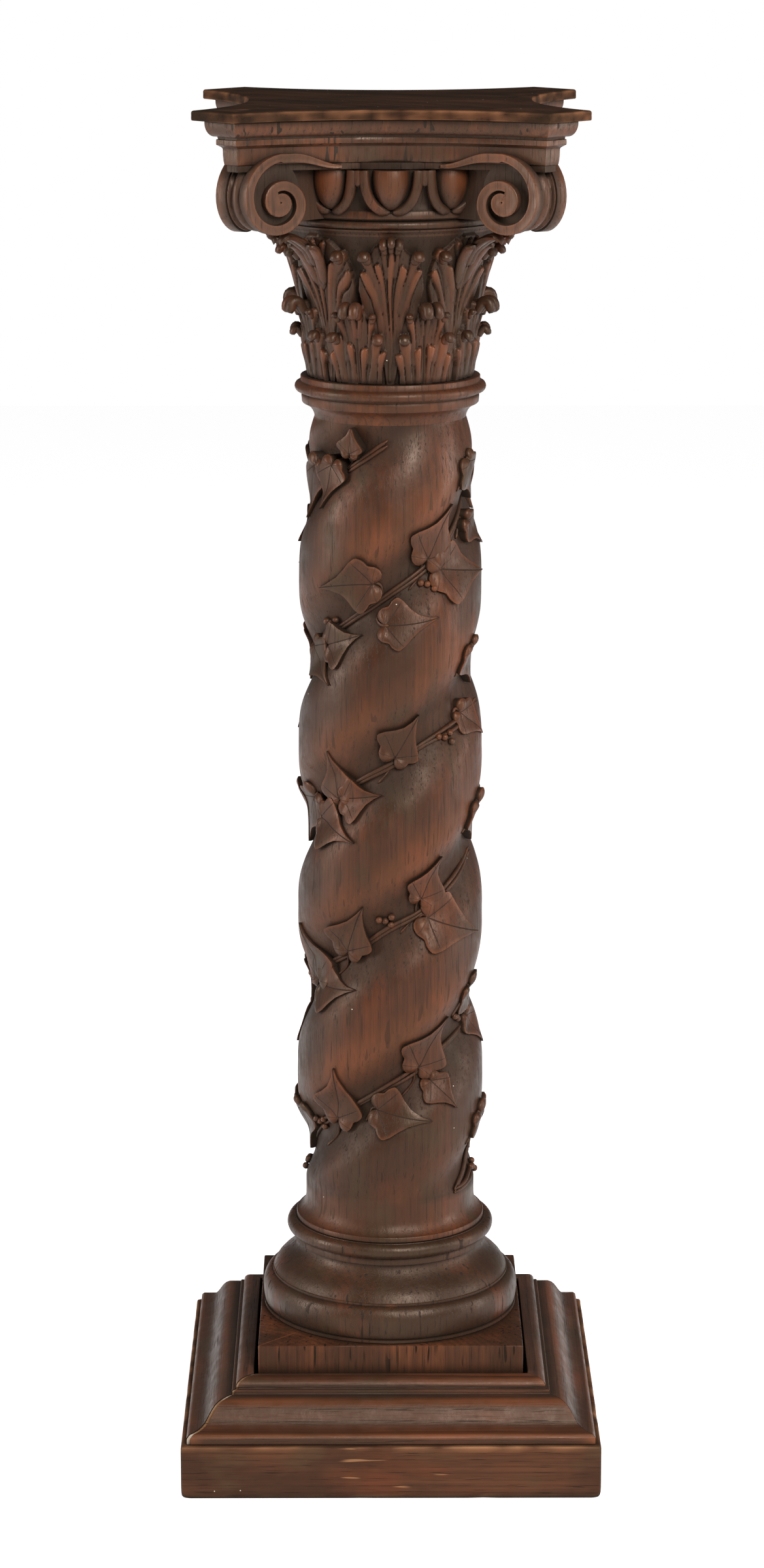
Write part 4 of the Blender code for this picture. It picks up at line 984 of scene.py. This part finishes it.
# %% [markdown]
# ## The mitred moulding
# Four lengths of one moulding lie on the block around the plinth: a flat, a rounded
# shoulder, a quirk, a fillet and a wide ogee that ends in a thin lip. The mitre at the front
# left corner has opened, and shows a line of glue and bare wood. Each length is one section
# raised from its left mitre to its right one.

# %% Section and lengths of the moulding
FRAME_SECTION = [(111.2, 0.0), (111.2, 39.6), (111.5, 40.2), (112.2, 40.3), (115.5, 40.3),
                 (118.5, 40.3), (120.6, 39.9), (122.4, 39.0), (124.0, 37.6), (125.1, 35.9),
                 (125.4, 34.4), (125.3, 33.4), (125.7, 32.8), (127.8, 32.6), (128.3, 32.2),
                 (128.5, 31.2), (128.6, 29.8), (129.0, 29.3), (130.4, 29.4), (133.0, 29.1),
                 (136.0, 28.5), (139.0, 27.3), (141.8, 25.2), (144.2, 22.4), (146.2, 19.2),
                 (148.0, 16.0), (150.0, 13.0), (152.4, 10.7), (155.4, 9.2), (158.6, 8.4),
                 (161.3, 8.1), (162.2, 7.7), (163.3, 6.4), (164.0, 5.6), (164.1, 5.0),
                 (164.1, 0.4), (163.8, 0.0)]
MOULDING_REACH = 164.0


def moulding(name, node, quarter, finish, left_gap=0.0, right_gap=0.0):
    """One length of the moulding, drawn back a little at a mitre that has opened."""
    outlines = []
    for share in np.linspace(0, 1, 30):
        outline = []
        for out, rise in FRAME_SECTION:
            reach = out - 0.25
            left = -reach + left_gap * out / MOULDING_REACH
            right = reach - right_gap * out / MOULDING_REACH
            x = left + (right - left) * share
            outline.append(Vector((x * MM, -out * MM, PLINTH_Z + rise * MM)))
        outlines.append(outline)
    bm = new_work()
    raise_plan(bm, outlines)
    points = places(bm)
    rises = (points[:, 2] - PLINTH_Z) / MM
    # The quirk under the shoulder and the one above the ogee are darkened.
    darkening = np.clip(1 - np.abs(rises - 33.3) / 1.3, 0, 1) * 0.9
    darkening = np.maximum(darkening, np.clip(1 - np.abs(rises - 29.4) / 0.9, 0, 1) * 0.8)
    glow = np.clip(1 - np.abs(rises - 26.6) / 2.6, 0, 1) * 0.55
    glow = np.maximum(glow, np.clip(1 - np.abs(rises - 7.0) / 1.6, 0, 1) * 0.6)
    mark(bm, bm.verts, rub=list(glow), grime=list(darkening))
    bmesh.ops.transform(bm, matrix=Matrix.Rotation(quarter * math.pi / 2, 4, "Z"), verts=bm.verts)
    return finish_piece(name, bm, finish, node, smooth=32)


moulding("front_moulding", "moulding_front", 0, BASE_OAK, left_gap=3.0)
moulding("right_moulding", "moulding_right", 1, SIDE_OAK)
moulding("back_moulding", "moulding_back", 2, BASE_OAK)
moulding("left_moulding", "moulding_left", 3, SIDE_OAK, right_gap=1.5)

# %% [markdown]
# Bare wood and old glue show in the open mitre. They belong to the front length, so they are
# a thin slice of the same section set a little deeper, with a finish of unstained oak.

# %% The open mitre
outlines = [[Vector(((-out + 0.4 + 2.7 * share * out / MOULDING_REACH) * MM,
                     (-out + 1.0) * MM, PLINTH_Z + max(0.2, rise - 0.9) * MM))
             for out, rise in FRAME_SECTION] for share in (0.0, 0.5, 1.0)]
bm = new_work()
raise_plan(bm, outlines)
points = places(bm)
glue = np.clip(2.2 * waver(points, 70.0, 4.0) + 0.1, 0, 1)
darkening = np.clip(2.0 * waver(points, 110.0, 7.0) - 0.2, 0, 0.8)
mark(bm, bm.verts, rub=list(glue), grime=list(darkening))
finish_piece("bare_mitre", bm, BARE_OAK, "moulding_front")

# %% [markdown]
# ## The bell of the capital and its leaves
# The carver turned the bell, drew the leaves on it, and cut the ground away around them, so
# that leaves and bell are one block of oak in low relief. Eight leaves stand in the lower
# row and eight between them in the upper row, and every second upper leaf runs out under a
# volute. Each leaf is a smooth skin with round-headed fingers lying on it. Separate fingers
# set against a plain bell look like a spray of sticks, so here the turned bell itself is
# raised: for every point the height of each leaf and finger is worked out, and the highest
# wins, as it does under the gouge.

# %% Heights of a leaf over the bell
BELL_LINE = ((0, 4, 15, 35, 60, 80, 98, 108, 114.5, 118.5),
             (61.5, 62.0, 62.5, 64.0, 67.0, 71.0, 76.0, 80.0, 82.4, 83.2))
# How high the skin of a leaf stands over the bell, by height above the neck in mm
LOWER_SKIN = ((0, 4, 14, 32, 45, 62), (3.8, 4.3, 4.9, 5.6, 6.4, 7.4))
UPPER_SKIN = ((0, 20, 40, 60, 80, 100, 114), (2.2, 3.0, 3.8, 4.6, 5.2, 5.4, 3.0))
# Half the width of the skin in degrees, by height above the neck
LOWER_LEAF = ((0, 14, 22, 32, 42, 50, 58, 62), (17.5, 18.0, 17.0, 15.5, 13.0, 9.0, 5.0, 0.0))
UPPER_LEAF = ((0, 15, 28, 46, 60, 74, 88, 98, 108, 114),
              (3.2, 4.4, 8.0, 15.0, 19.0, 20.5, 18.5, 15.0, 7.5, 0.0))
CORNER_LEAF = ((0, 15, 28, 46, 60, 76, 90, 100, 110, 117),
               (3.2, 4.4, 8.0, 15.5, 19.5, 22.5, 21.5, 18.0, 11.0, 4.0))
# Each finger: its path as degrees from the middle of the leaf and height above the neck,
# then half the width of its head and its height over the skin, in mm
LOWER_FINGERS = (
    (((3.6, -3), (4.2, 12), (5.2, 27.0)), 3.0, 2.4),
    (((15.2, -3), (15.8, 10), (17.6, 22.0)), 3.2, 2.4),
    (((10.0, -3), (11.4, 14), (14.4, 35.0)), 4.4, 2.4),
    (((7.6, 18), (9.0, 38), (11.4, 52.0)), 2.7, 1.8),
    (((0.9, 38), (1.9, 50), (2.6, 60)), 2.6, 2.0))
UPPER_FINGERS = (
    (((0.0, 0), (0.0, 40), (0.0, 112)), 1.7, 2.0),
    (((1.5, 18), (3.0, 45), (4.2, 78), (6.4, 91.5)), 3.0, 2.1),
    (((2.9, 20), (6.0, 48), (9.6, 70), (15.2, 88.0)), 3.2, 2.2),
    (((5.2, 58), (8.4, 78), (12.2, 94), (14.0, 100.0)), 4.2, 2.4),
    (((1.6, 84), (3.0, 100), (3.6, 110)), 2.2, 2.0))
CORNER_FINGERS = (
    (((0.0, 0), (0.0, 40), (0.0, 112)), 1.8, 2.0),
    (((1.5, 18), (3.2, 45), (6.2, 74), (10.8, 91.0)), 3.5, 2.3),
    (((2.9, 20), (6.6, 48), (13.4, 70), (19.2, 86.0)), 3.1, 2.2),
    (((5.4, 56), (10.2, 80), (14.6, 94), (16.4, 100.0)), 4.3, 2.4),
    (((1.6, 80), (4.4, 98), (6.6, 109)), 3.0, 2.4))


def finger(aside, rise, radius, path, half_width, height):
    """How high a finger stands at each point, and how near its edge each other point is."""
    nearest = np.full(len(rise), 1e9)
    share = np.zeros(len(rise))
    steps = len(path) - 1
    for i, ((turn, up), (next_turn, next_up)) in enumerate(zip(path, path[1:])):
        x, z = np.radians(aside - turn) * radius, rise - up
        dx, dz = np.radians(next_turn - turn) * radius, next_up - up
        on = np.clip((x * dx + z * dz) / (dx * dx + dz * dz), 0, 1)
        far = np.hypot(x - on * dx, z - on * dz)
        closer = far < nearest
        nearest = np.where(closer, far, nearest)
        share = np.where(closer, (i + on) / steps, share)
    wide = half_width * np.interp(share, (0, 0.45, 0.7, 0.9, 1.0), (0.70, 0.62, 0.78, 1.0, 1.0))
    proud = height * np.interp(share, (0, 0.45, 0.8, 1.0), (0.28, 0.42, 1.0, 1.1))
    inside = np.sqrt(np.clip(1 - (nearest / wide) ** 2, 0, 1))
    moat = np.clip(1.25 - (nearest - wide) / 0.8, 0, 1) * (nearest >= wide)
    moat = moat * np.interp(share, (0, 0.35, 0.75), (0.25, 0.40, 1.0))
    return inside * proud, moat, inside * share ** 2


def raise_leaf(turns, rise, radius, middle, count, outline, skin, fingers, groove=0.0):
    """Height over the bell of one row of leaves, with how rubbed it is and how dark its shade is
    painted.
    """
    step = 360 / count
    aside = np.abs((turns - middle + step / 2) % step - step / 2)
    room = (np.interp(rise, *outline) - aside) * radius * math.pi / 180
    on_skin = np.clip(room / 0.9, 0, 1)
    high, moat, glow = np.zeros(len(rise)), np.zeros(len(rise)), np.zeros(len(rise))
    for path, half_width, height in fingers:
        inside, edge, tip = finger(aside, rise, radius, path, half_width, height)
        moat = np.maximum(moat, edge)
        glow = np.where(inside > high, tip, glow)
        high = np.maximum(high, inside)
    moat = moat * (high <= 0)
    cut = np.exp(-(np.radians(aside) * radius / 0.8) ** 2) * groove * (rise < 54)
    on_skin = np.maximum(on_skin, np.clip(high / 0.5, 0, 1))
    body = on_skin * (np.interp(rise, *skin) - 1.0 * moat - 1.0 * cut) + high
    # The channels beside the fingers and the bare ground are painted dark as shade.
    darkening = np.where(high > 0, 0.18 - 0.18 * glow, 0.34 + 0.60 * np.maximum(moat, cut))
    return body, glow, np.where(on_skin > 0.5, darkening, 0.9)


print("leaf heights ready")

# %% [markdown]
# The bell is turned with 840 steps, one about every half millimetre, which is fine enough
# for the edges of the fingers. Three rows of leaves are laid over it, and where they overlap
# the highest shows. Heads of fingers are rubbed, and the channels beside them and the bare
# ground are painted dark as shade.

# %% Raise the leaves on the turned bell
rises = np.concatenate((np.arange(0.0, 118.0, 1.1), [118.5]))
bm = turn_blank([(np.interp(rise, *BELL_LINE) * MM, CAPITAL_Z + rise * MM) for rise in rises], 840)
points = places(bm)
rise = (points[:, 2] - CAPITAL_Z) / MM
radius = np.hypot(points[:, 0], points[:, 1]) / MM
turns = np.degrees(np.arctan2(points[:, 1], points[:, 0]))
# The hand of the carver: no two leaves are quite alike
swing = np.radians(turns)
unsure = 0.7 * np.sin(11 * swing + 1.3) + 0.5 * np.sin(23 * swing + 0.09 * rise)
higher = rise + 1.5 * np.sin(13 * swing + 0.4) + 1.0 * np.sin(29 * swing + 0.05 * rise)
rows = [raise_leaf(turns + unsure, higher, radius, 0, 4, UPPER_LEAF, UPPER_SKIN, UPPER_FINGERS),
        raise_leaf(turns + unsure, higher, radius, 45, 4, CORNER_LEAF, UPPER_SKIN, CORNER_FINGERS),
        raise_leaf(turns + unsure, higher, radius, 22.5, 8, LOWER_LEAF, LOWER_SKIN, LOWER_FINGERS,
                   groove=1.0)]
height = np.maximum.reduce([row[0] for row in rows])
glow, darkening = np.zeros(len(rise)), np.full(len(rise), 0.75)
for body, tip, dirt_and_shade in rows:
    top = (body >= height - 1e-9) & (body > 0.3)
    glow, darkening = np.where(top, tip, glow), np.where(top, dirt_and_shade, darkening)
height = height * np.clip((117.5 - rise) / 3.0, 0, 1) * (radius > 1)
factor = 1 + height / np.maximum(radius, 1)
points[:, 0] *= factor
points[:, 1] *= factor
put(bm, points)
mark(bm, bm.verts, rub=list(0.75 * glow), grime=list(darkening))
finish_piece("carved_bell", bm, CAPITAL_OAK, "capital", smooth=80)

# %% [markdown]
# Above the leaves the bell ends in an astragal and the ground that the eggs stand on. This
# part is plain turned work again and needs far fewer steps.

# %% Turn the head of the bell
section = [(60.0, 116.0), (82.8, 116.2), (83.2, 118.5), (83.6, 119.8),
           (86.0, 120.0), (86.2, 121.4), (85.4, 122.0)]
section += [(radius, z) for radius, z in torus_run(85.6, 88.6, 122.2, 6.2, 8)]
section += [(86.0, 128.8), (86.4, 129.6), (89.6, 130.0), (90.2, 130.6), (90.3, 132.2),
            (90.0, 135.6), (89.6, 136.4), (88.6, 137.6), (88.4, 142.0), (89.6, 150.0),
            (92.0, 160.0), (93.0, 167.0), (93.4, 168.4), (94.4, 168.6), (95.0, 169.0),
            (95.0, 173.9)]
bm = turn_blank([(radius * MM, CAPITAL_Z + rise * MM) for radius, rise in section], 144)
rises = (places(bm)[:, 2] - CAPITAL_Z) / MM
# The ground behind the eggs is painted dark as shade.
mark(bm, bm.verts, grime=list(np.where(rises > 136, 0.88, 0.12)))
finish_piece("bell_head", bm, CAPITAL_OAK, "capital")

# %% [markdown]
# ## Curled tips
# The tips that hook over are undercut, which no raised surface can be. Each is a short
# stretched ball that leaves the skin, bulges into a round knob and turns down over a dark
# hollow.

# %% Tips of the leaves
# Each tip: the points of its path as degrees from the middle of the leaf, height above the
# neck and radius in mm, then half its width and half its thickness.
LOWER_TIPS = (
    (((2.4, 50, 76.5), (2.7, 57, 80.5), (2.9, 61.5, 84.5), (2.9, 61.0, 88.8), (2.9, 56.0, 90.4),
      (2.8, 51.8, 89.0)), 4.1, 4.0),
    (((13.4, 30, 72.5), (14.2, 35.5, 75.5), (14.6, 37.4, 78.4), (14.7, 34.6, 80.4),
      (14.7, 32.0, 79.6)), 4.5, 3.2),
    (((11.0, 48, 76.0), (11.4, 53.0, 78), (11.6, 54.2, 80), (11.6, 51.8, 81)), 2.9, 2.6))
UPPER_TIPS = (
    (((0.0, 103, 88.5), (0.0, 110.5, 92.0), (0.0, 115.0, 95.0), (0.0, 113.4, 98.0),
      (0.0, 107.5, 98.3)), 3.2, 3.3),
    (((3.2, 102, 88.0), (3.6, 109, 91.4), (3.8, 113.2, 94.4), (3.8, 111.4, 97.0),
      (3.8, 106.0, 97.2)), 3.2, 3.2),
    (((12.2, 94, 84.5), (13.5, 100.5, 87.8), (13.9, 102.6, 91.0), (14.0, 99.8, 93.0),
      (14.0, 96.8, 92.4)), 4.6, 3.3))
CORNER_TIPS = (
    (((15.4, 94, 84.5), (16.2, 100, 88.0), (16.5, 102.2, 91.2), (16.6, 99.4, 93.4),
      (16.6, 96.6, 92.8)), 4.5, 3.3),
    (((2.0, 75, 78), (4.2, 91, 85), (5.6, 102, 93), (6.0, 107.5, 99), (6.0, 108.0, 103),
      (5.9, 105.5, 104.5)), 5.2, 2.6),
    (((0.9, 90, 86), (1.5, 104, 94), (1.7, 112, 105), (1.7, 116.5, 116), (1.7, 116.5, 122),
      (1.7, 114.0, 126), (1.7, 110.5, 126.5)), 4.6, 2.8),
    (((0.0, 70, 76), (0.0, 92, 84), (0.0, 106, 94), (0.0, 114.5, 108), (0.0, 116.5, 118),
      (0.0, 114.5, 125), (0.0, 110.5, 126)), 9.0, 2.4))
# Share of the full width up a tip: a neck with a round head
CLUB = (0.66, 0.80, 0.95, 1.0, 1.0, 0.96)
CLUB_DEPTH = (0.80, 0.95, 1.0, 1.0, 1.0, 1.0)
TIP_RUB = (0.0, 0.10, 0.25, 0.35, 0.65, 0.9)


def curl_tips(bm, tips, middle):
    """The curled tips on both sides of the middle of a leaf."""
    for path, half_width, half_thickness in tips:
        for side in (-1, 1) if path[0][0] else (1,):
            spots = [polar(middle + side * turn, out - half_thickness, CAPITAL_Z / MM + up)
                     for turn, up, out in path]
            stretch_ball(bm, spots, [half_width * share * MM for share in CLUB],
                         [half_thickness * share * MM for share in CLUB_DEPTH], rings=16,
                         around=12, square=0.9, rub=TIP_RUB, grime=0.0)


bm = new_work()
for number in range(8):
    curl_tips(bm, LOWER_TIPS, 22.5 + 45 * number)
finish_piece("lower_leaf_tips", bm, CAPITAL_OAK, "capital", smooth=60)
bm = new_work()
for number in range(8):
    curl_tips(bm, CORNER_TIPS if number % 2 else UPPER_TIPS, 45 * number)
finish_piece("upper_leaf_tips", bm, CAPITAL_OAK, "capital", smooth=60)

# %% [markdown]
# ## Eggs and darts
# Twelve eggs sit in shells under the fascia, and two straps meet as a dart between each
# pair. The carver cut them all off flat at the top, where the abacus hides them. Each set is
# made once at full height, cut with a plane, closed, and turned into its twelve places.

# %% One egg with its shell, turned into place
EGG_TOP = 1053.0
bm = new_work()
for number in range(12):
    middle = 270 + 30 * number
    one = new_work()
    ball = bmesh.ops.create_uvsphere(one, u_segments=22, v_segments=18, radius=1)["verts"]
    for vert in ball:
        x, y, z = vert.co
        slim = 1 - 0.16 * max(0.0, -z) ** 2
        vert.co = ((91.4 + x * 12.6 + z * 0.6) * MM, y * 14.8 * slim * MM,
                   (1046.5 + z * (24.2 if z < 0 else 20.0)) * MM)
    mark(one, ball, rub=[max(0.0, 0.5 * (v.co.x / MM - 99) / 5) for v in ball])
    turn = Matrix.Rotation(math.radians(middle), 4, "Z")
    bmesh.ops.transform(one, matrix=turn, verts=one.verts)
    for side in (-1, 1):
        rim = [(middle + side * across, radius, z) for across, radius, z in
               ((12.4, 98.2, 1060), (12.3, 98.2, 1052), (11.9, 97.8, 1044), (10.8, 96.6, 1035.0),
                (8.4, 94.6, 1027.4), (4.8, 92.4, 1022.6), (0.0, 91.2, 1020.4))]
        stretch_ball(one, [polar(*spot) for spot in rim], (4.0 * MM, 4.0 * MM, 3.6 * MM),
                     (3.6 * MM, 3.2 * MM), rings=20, around=12, square=0.6, rub=(0.30, 0.2))
    dart = [polar(middle + 15, 98.4, 1062), polar(middle + 15, 98.4, 1054),
            polar(middle + 15, 97.4, 1040)]
    stretch_ball(one, dart, (4.4 * MM, 4.4 * MM, 2.4 * MM), (3.3 * MM, 3.0 * MM), rings=10,
                 around=12, square=0.55, rub=(0.30, 0.3))
    cut = bmesh.ops.bisect_plane(one, geom=one.verts[:] + one.edges[:] + one.faces[:],
                                 plane_co=(0, 0, EGG_TOP * MM), plane_no=(0, 0, 1),
                                 clear_outer=True)["geom_cut"]
    bmesh.ops.holes_fill(one, edges=[item for item in cut if isinstance(item, bmesh.types.BMEdge)])
    add_work(bm, one)
finish_piece("egg_and_dart", bm, CAPITAL_OAK, "capital", smooth=50)

# %% [markdown]
# ## Volutes
# At each corner two scrolls stand back to back with a roll between them. The face of a
# scroll is a raised ribbon that leaves the fascia as a thin stem, swells, and winds in to a
# solid eye. Its section is extruded station by station along the spiral, on a surface that
# follows the hollowed side of the top and splays towards the corner.

# %% The spiral and the face that it lies on
EYE_ALONG = 0.0857
EYE_Z = CAPITAL_Z + 0.1455
SPIRAL_TOP = 0.0367


def on_hollow(along, z, sink):
    """A point on the face of a volute, by its length along the hollowed front side."""
    share = (along - 0.0376) / (EYE_ALONG + SPIRAL_TOP - 0.0376)
    inset = 0.0165 + (0.0090 - 0.0165) * share
    radius = HOLLOW_RADIUS + inset + sink
    turn = along / (HOLLOW_RADIUS + inset)
    return Vector((radius * math.sin(turn), radius * math.cos(turn) - HOLLOW_CENTRE, z))


def spiral_reach(swing):
    return SPIRAL_TOP * 0.815 ** (swing / 90)


def spiral_point(swing, reach):
    turn = math.radians(swing)
    return EYE_ALONG + reach * math.sin(turn), EYE_Z + reach * math.cos(turn)


def in_diagonal(point):
    """The same point on the neighbouring side."""
    return Vector((-point.y, -point.x, point.z))


print("spiral after one turn, mm:", round(spiral_reach(360) / MM, 1))

# %% [markdown]
# The ribbon has a rounded arris on both edges and a shallow channel between them. Its inner
# edge stays clear of the last turn of the spiral until the eye, where the two meet.

# %% The ribbon of a volute
RIBBON_BACK = 0.0090
RIBBON_SECTION = ((0.0, 4.5), (0.0, 0.6), (0.04, 0.12), (0.10, 0.0), (0.22, 0.22), (0.5, 0.40),
                  (0.78, 0.22), (0.90, 0.0), (0.96, 0.12), (1.0, 0.6), (1.0, 4.5))
ARRIS_GLOW = (0.0, 0.12, 0.36, 0.36, 0.12, 0.0, 0.12, 0.30, 0.25, 0.1, 0.0)


def ribbon_pairs():
    """Outer and inner edge of the ribbon, station by station."""
    stem_z = CAPITAL_Z + 0.1739 - 0.0012
    top_z = EYE_Z + SPIRAL_TOP
    pairs = []
    for share in np.linspace(0, 0.96, 16):
        rise = math.sin(math.pi / 2 * min(1.0, share * 1.3)) ** 2
        z = stem_z + (top_z - stem_z) * rise
        along = 0.0376 + (EYE_ALONG - 0.0376) * share
        width = 0.0026 + 0.0044 * min(1.0, share * 1.5)
        pairs.append(((along, z), (along, z - width)))
    for swing in np.concatenate((np.arange(0, 379, 9), np.arange(388, 750, 18))):
        outer = spiral_reach(swing)
        width = np.interp(swing, (0, 45, 90, 180, 270, 360, 450),
                          (6.0, 7.0, 7.8, 7.6, 8.0, 7.4, 6.4)) * MM
        inner = outer - width if swing < 384 else 0.0004
        pairs.append((spiral_point(swing, outer), spiral_point(swing, inner)))
    return pairs


def volute_ribbon(bm):
    stations = []
    for outer, inner in ribbon_pairs():
        station = []
        for across, sink in RIBBON_SECTION:
            along = outer[0] + (inner[0] - outer[0]) * across
            z = outer[1] + (inner[1] - outer[1]) * across
            depth = RIBBON_BACK if sink > 4 else sink * MM
            station.append(on_hollow(along, z, depth))
        stations.append(station)
    return raise_plan(bm, stations)


print("stations of a ribbon:", len(ribbon_pairs()))

# %% [markdown]
# Between the two scrolls of a corner lies the roll: raised at both edges, with a channel
# inside each and a round in the middle. Its outline is the first turn of the spiral, closed
# under the abacus, and it is carried across the corner in steps.

# %% The roll between two scrolls
ROLL_SECTION = ((0.0, 1.4), (0.10, 0.4), (0.17, 0.5), (0.22, 2.6), (0.28, 3.2), (0.33, 2.2),
                (0.40, 0.9), (0.50, 0.5), (0.60, 0.9), (0.67, 2.2), (0.72, 3.2), (0.78, 2.6),
                (0.83, 0.5), (0.90, 0.4), (1.0, 1.4))


def volute_roll(bm):
    """The roll of one corner, as rings from one scroll to the other."""
    outline = []
    for swing in np.arange(0, 360, 7.5):
        reach = spiral_reach(swing)
        if swing > 270:
            share = (swing - 270) / 90
            reach += (spiral_reach(0) - reach) * share ** 1.5
        outline.append((swing, reach))
    rings = []
    for share, sink in ROLL_SECTION:
        ring = []
        for swing, reach in outline:
            spot = spiral_point(swing, reach - (1.0 + sink) * MM)
            near = on_hollow(*spot, 0.0075)
            ring.append(near.lerp(in_diagonal(near), share))
        rings.append(ring)
    return raise_plan(bm, rings)


print("rings of the roll:", len(ROLL_SECTION))

# %% [markdown]
# One corner is made four times over: a ribbon, its mirror image on the next side, the roll,
# and a root that carries them into the block of the capital behind.

# %% The four corners
bm = new_work()
for quarter in range(4):
    turn = Matrix.Rotation(quarter * math.pi / 2, 4, "Z")
    for part in ("ribbon", "mirror", "roll", "root"):
        if part in ("ribbon", "mirror"):
            verts = volute_ribbon(bm)
            glow = ARRIS_GLOW * (len(verts) // len(ARRIS_GLOW))
            # The back walls of the ribbon are painted dark as shade between the parts.
            shaded_walls = [0.9 if value in (0.1, 0.0) and i % 11 in (0, 9, 10) else 0.0
                    for i, value in enumerate(glow)]
            mark(bm, verts, rub=glow, grime=shaded_walls)
        elif part == "roll":
            verts = volute_roll(bm)
            ends = len(verts) // len(ROLL_SECTION)
            # The ends of the roll, where it meets the scrolls, are painted dark as shade, the rest
            # a little.
            mark(bm, verts, grime=[0.92 if i < ends or i >= len(verts) - ends else 0.25
                                   for i in range(len(verts))])
        else:
            size = Matrix.Diagonal((0.075, 0.030, 0.042, 1))
            spot = (Matrix.Rotation(math.radians(315), 4, "Z")
                    @ Matrix.Translation((0.0975, 0, CAPITAL_Z + 0.1739 - 0.0235)) @ size)
            verts = bmesh.ops.create_cube(bm, size=1, matrix=spot)["verts"]
            # The root is painted dark as shade behind the volutes.
            mark(bm, verts, grime=0.8)
        if part == "mirror":
            for vert in verts:
                vert.co = in_diagonal(vert.co)
        bmesh.ops.transform(bm, matrix=turn, verts=verts)
finish_piece("corner_volutes", bm, VOLUTE_OAK_PAINTED_SHEEN, "capital", smooth=42)

# %% [markdown]
# A thin slab of the same plan as the top closes the capital above, so that the abacus has
# something to lie on between the volutes.

# %% The slab under the abacus
bm = new_work()
slab = raise_plan(bm, [hollow_plan(inset * MM, CAPITAL_Z + rise * MM) for inset, rise in
                       ((21.0, 168.7), (20.6, 169.0), (20.5, 172.0), (20.6, 173.9))])
# The slab is painted darker as shade under the abacus.
mark(bm, slab, grime=0.5)
finish_piece("capital_slab_fine", bm, CAPITAL_OAK, "capital")

# %% [markdown]
# ## Floor, light and camera
# The light is soft: the ridges shine a little right of their middle, the undersides are
# warm from below, and both edges have a soft rim. One large lamp in front, one at each side
# and a floor that glows give the same, and the world is white for the camera only. The floor
# is a plain pale sheet that the pedestal stands on.

# %% Floor
bm = new_work()
bmesh.ops.create_grid(bm, x_segments=1, y_segments=1, size=6.0)
mesh = bpy.data.meshes.new("floor")
bm.to_mesh(mesh)
bm.free()
floor = bpy.data.objects.new("floor", mesh)
bpy.context.scene.collection.objects.link(floor)
paper = bpy.data.materials.new("white_paper")
paper.use_nodes = True
sheet = paper.node_tree.nodes["Principled BSDF"].inputs
sheet["Base Color"].default_value = (0.38, 0.38, 0.38, 1)
sheet["Roughness"].default_value = 0.9
sheet["Emission Color"].default_value = (1.0, 1.0, 1.0, 1)
sheet["Emission Strength"].default_value = 0.905
mesh.materials.append(paper)
print("floor laid")

# %% [markdown]
# A white world would light the oak from all sides and take the depth out of the carving, so
# the world is white only where the camera sees it and much darker as a lamp.

# %% Lights
world = bpy.data.worlds.new("studio")
world.use_nodes = True
sky = world.node_tree.nodes["Background"]
sky.inputs["Color"].default_value = (1.0, 1.0, 1.0, 1)
seen = add_node(world.node_tree, "ShaderNodeLightPath")
level = ramp(world.node_tree, (seen, "Is Camera Ray"), 0.0, 1.0, 0.13, 1.0)
world.node_tree.links.new(level[0].outputs[level[1]], sky.inputs["Strength"])
bpy.context.scene.world = world
bpy.context.scene.view_settings.view_transform = "Standard"


def softbox(name, spot, aim, width, height, power):
    """A rectangular lamp at a spot, turned to its aim."""
    lamp = bpy.data.lights.new(name, "AREA")
    lamp.shape = "RECTANGLE"
    lamp.size, lamp.size_y, lamp.energy = width, height, power
    thing = bpy.data.objects.new(name, lamp)
    thing.location = spot
    thing.rotation_euler = (Vector(aim) - Vector(spot)).to_track_quat("-Z", "Y").to_euler()
    bpy.context.scene.collection.objects.link(thing)


softbox("key", (1.0, -2.6, 2.35), (0, 0, 0.6), 1.1, 1.5, 140.0)
softbox("left", (-3.1, -0.7, 1.3), (0, 0, 0.5), 0.9, 2.0, 82.0)
softbox("right", (3.2, -0.2, 1.1), (0, 0, 0.5), 0.9, 2.0, 56.0)
print("lights set")

# %% [markdown]
# The camera stands 3.2 m away at 1.32 m and looks down a little. Its lens and angles were
# found by matching the edges of the block and of the top board.

# %% Camera
CAMERA_DISTANCE = 3.236
CAMERA_HEIGHT = 1.323
LOOK_DOWN = math.radians(13.43)
WALK_ROUND = math.radians(-0.35)
LOOK_ASIDE = math.radians(0.117)
lens = bpy.data.cameras.new("camera")
lens.lens = 94.06
lens.sensor_width = 36.0
lens.clip_end = 50.0
camera = bpy.data.objects.new("camera", lens)
bpy.context.scene.collection.objects.link(camera)
camera.location = (CAMERA_DISTANCE * math.sin(WALK_ROUND),
                   -CAMERA_DISTANCE * math.cos(WALK_ROUND), CAMERA_HEIGHT)
camera.rotation_euler = (math.pi / 2 - LOOK_DOWN, 0.0, WALK_ROUND + LOOK_ASIDE)
bpy.context.scene.camera = camera
print("camera at", [round(v, 3) for v in camera.location])
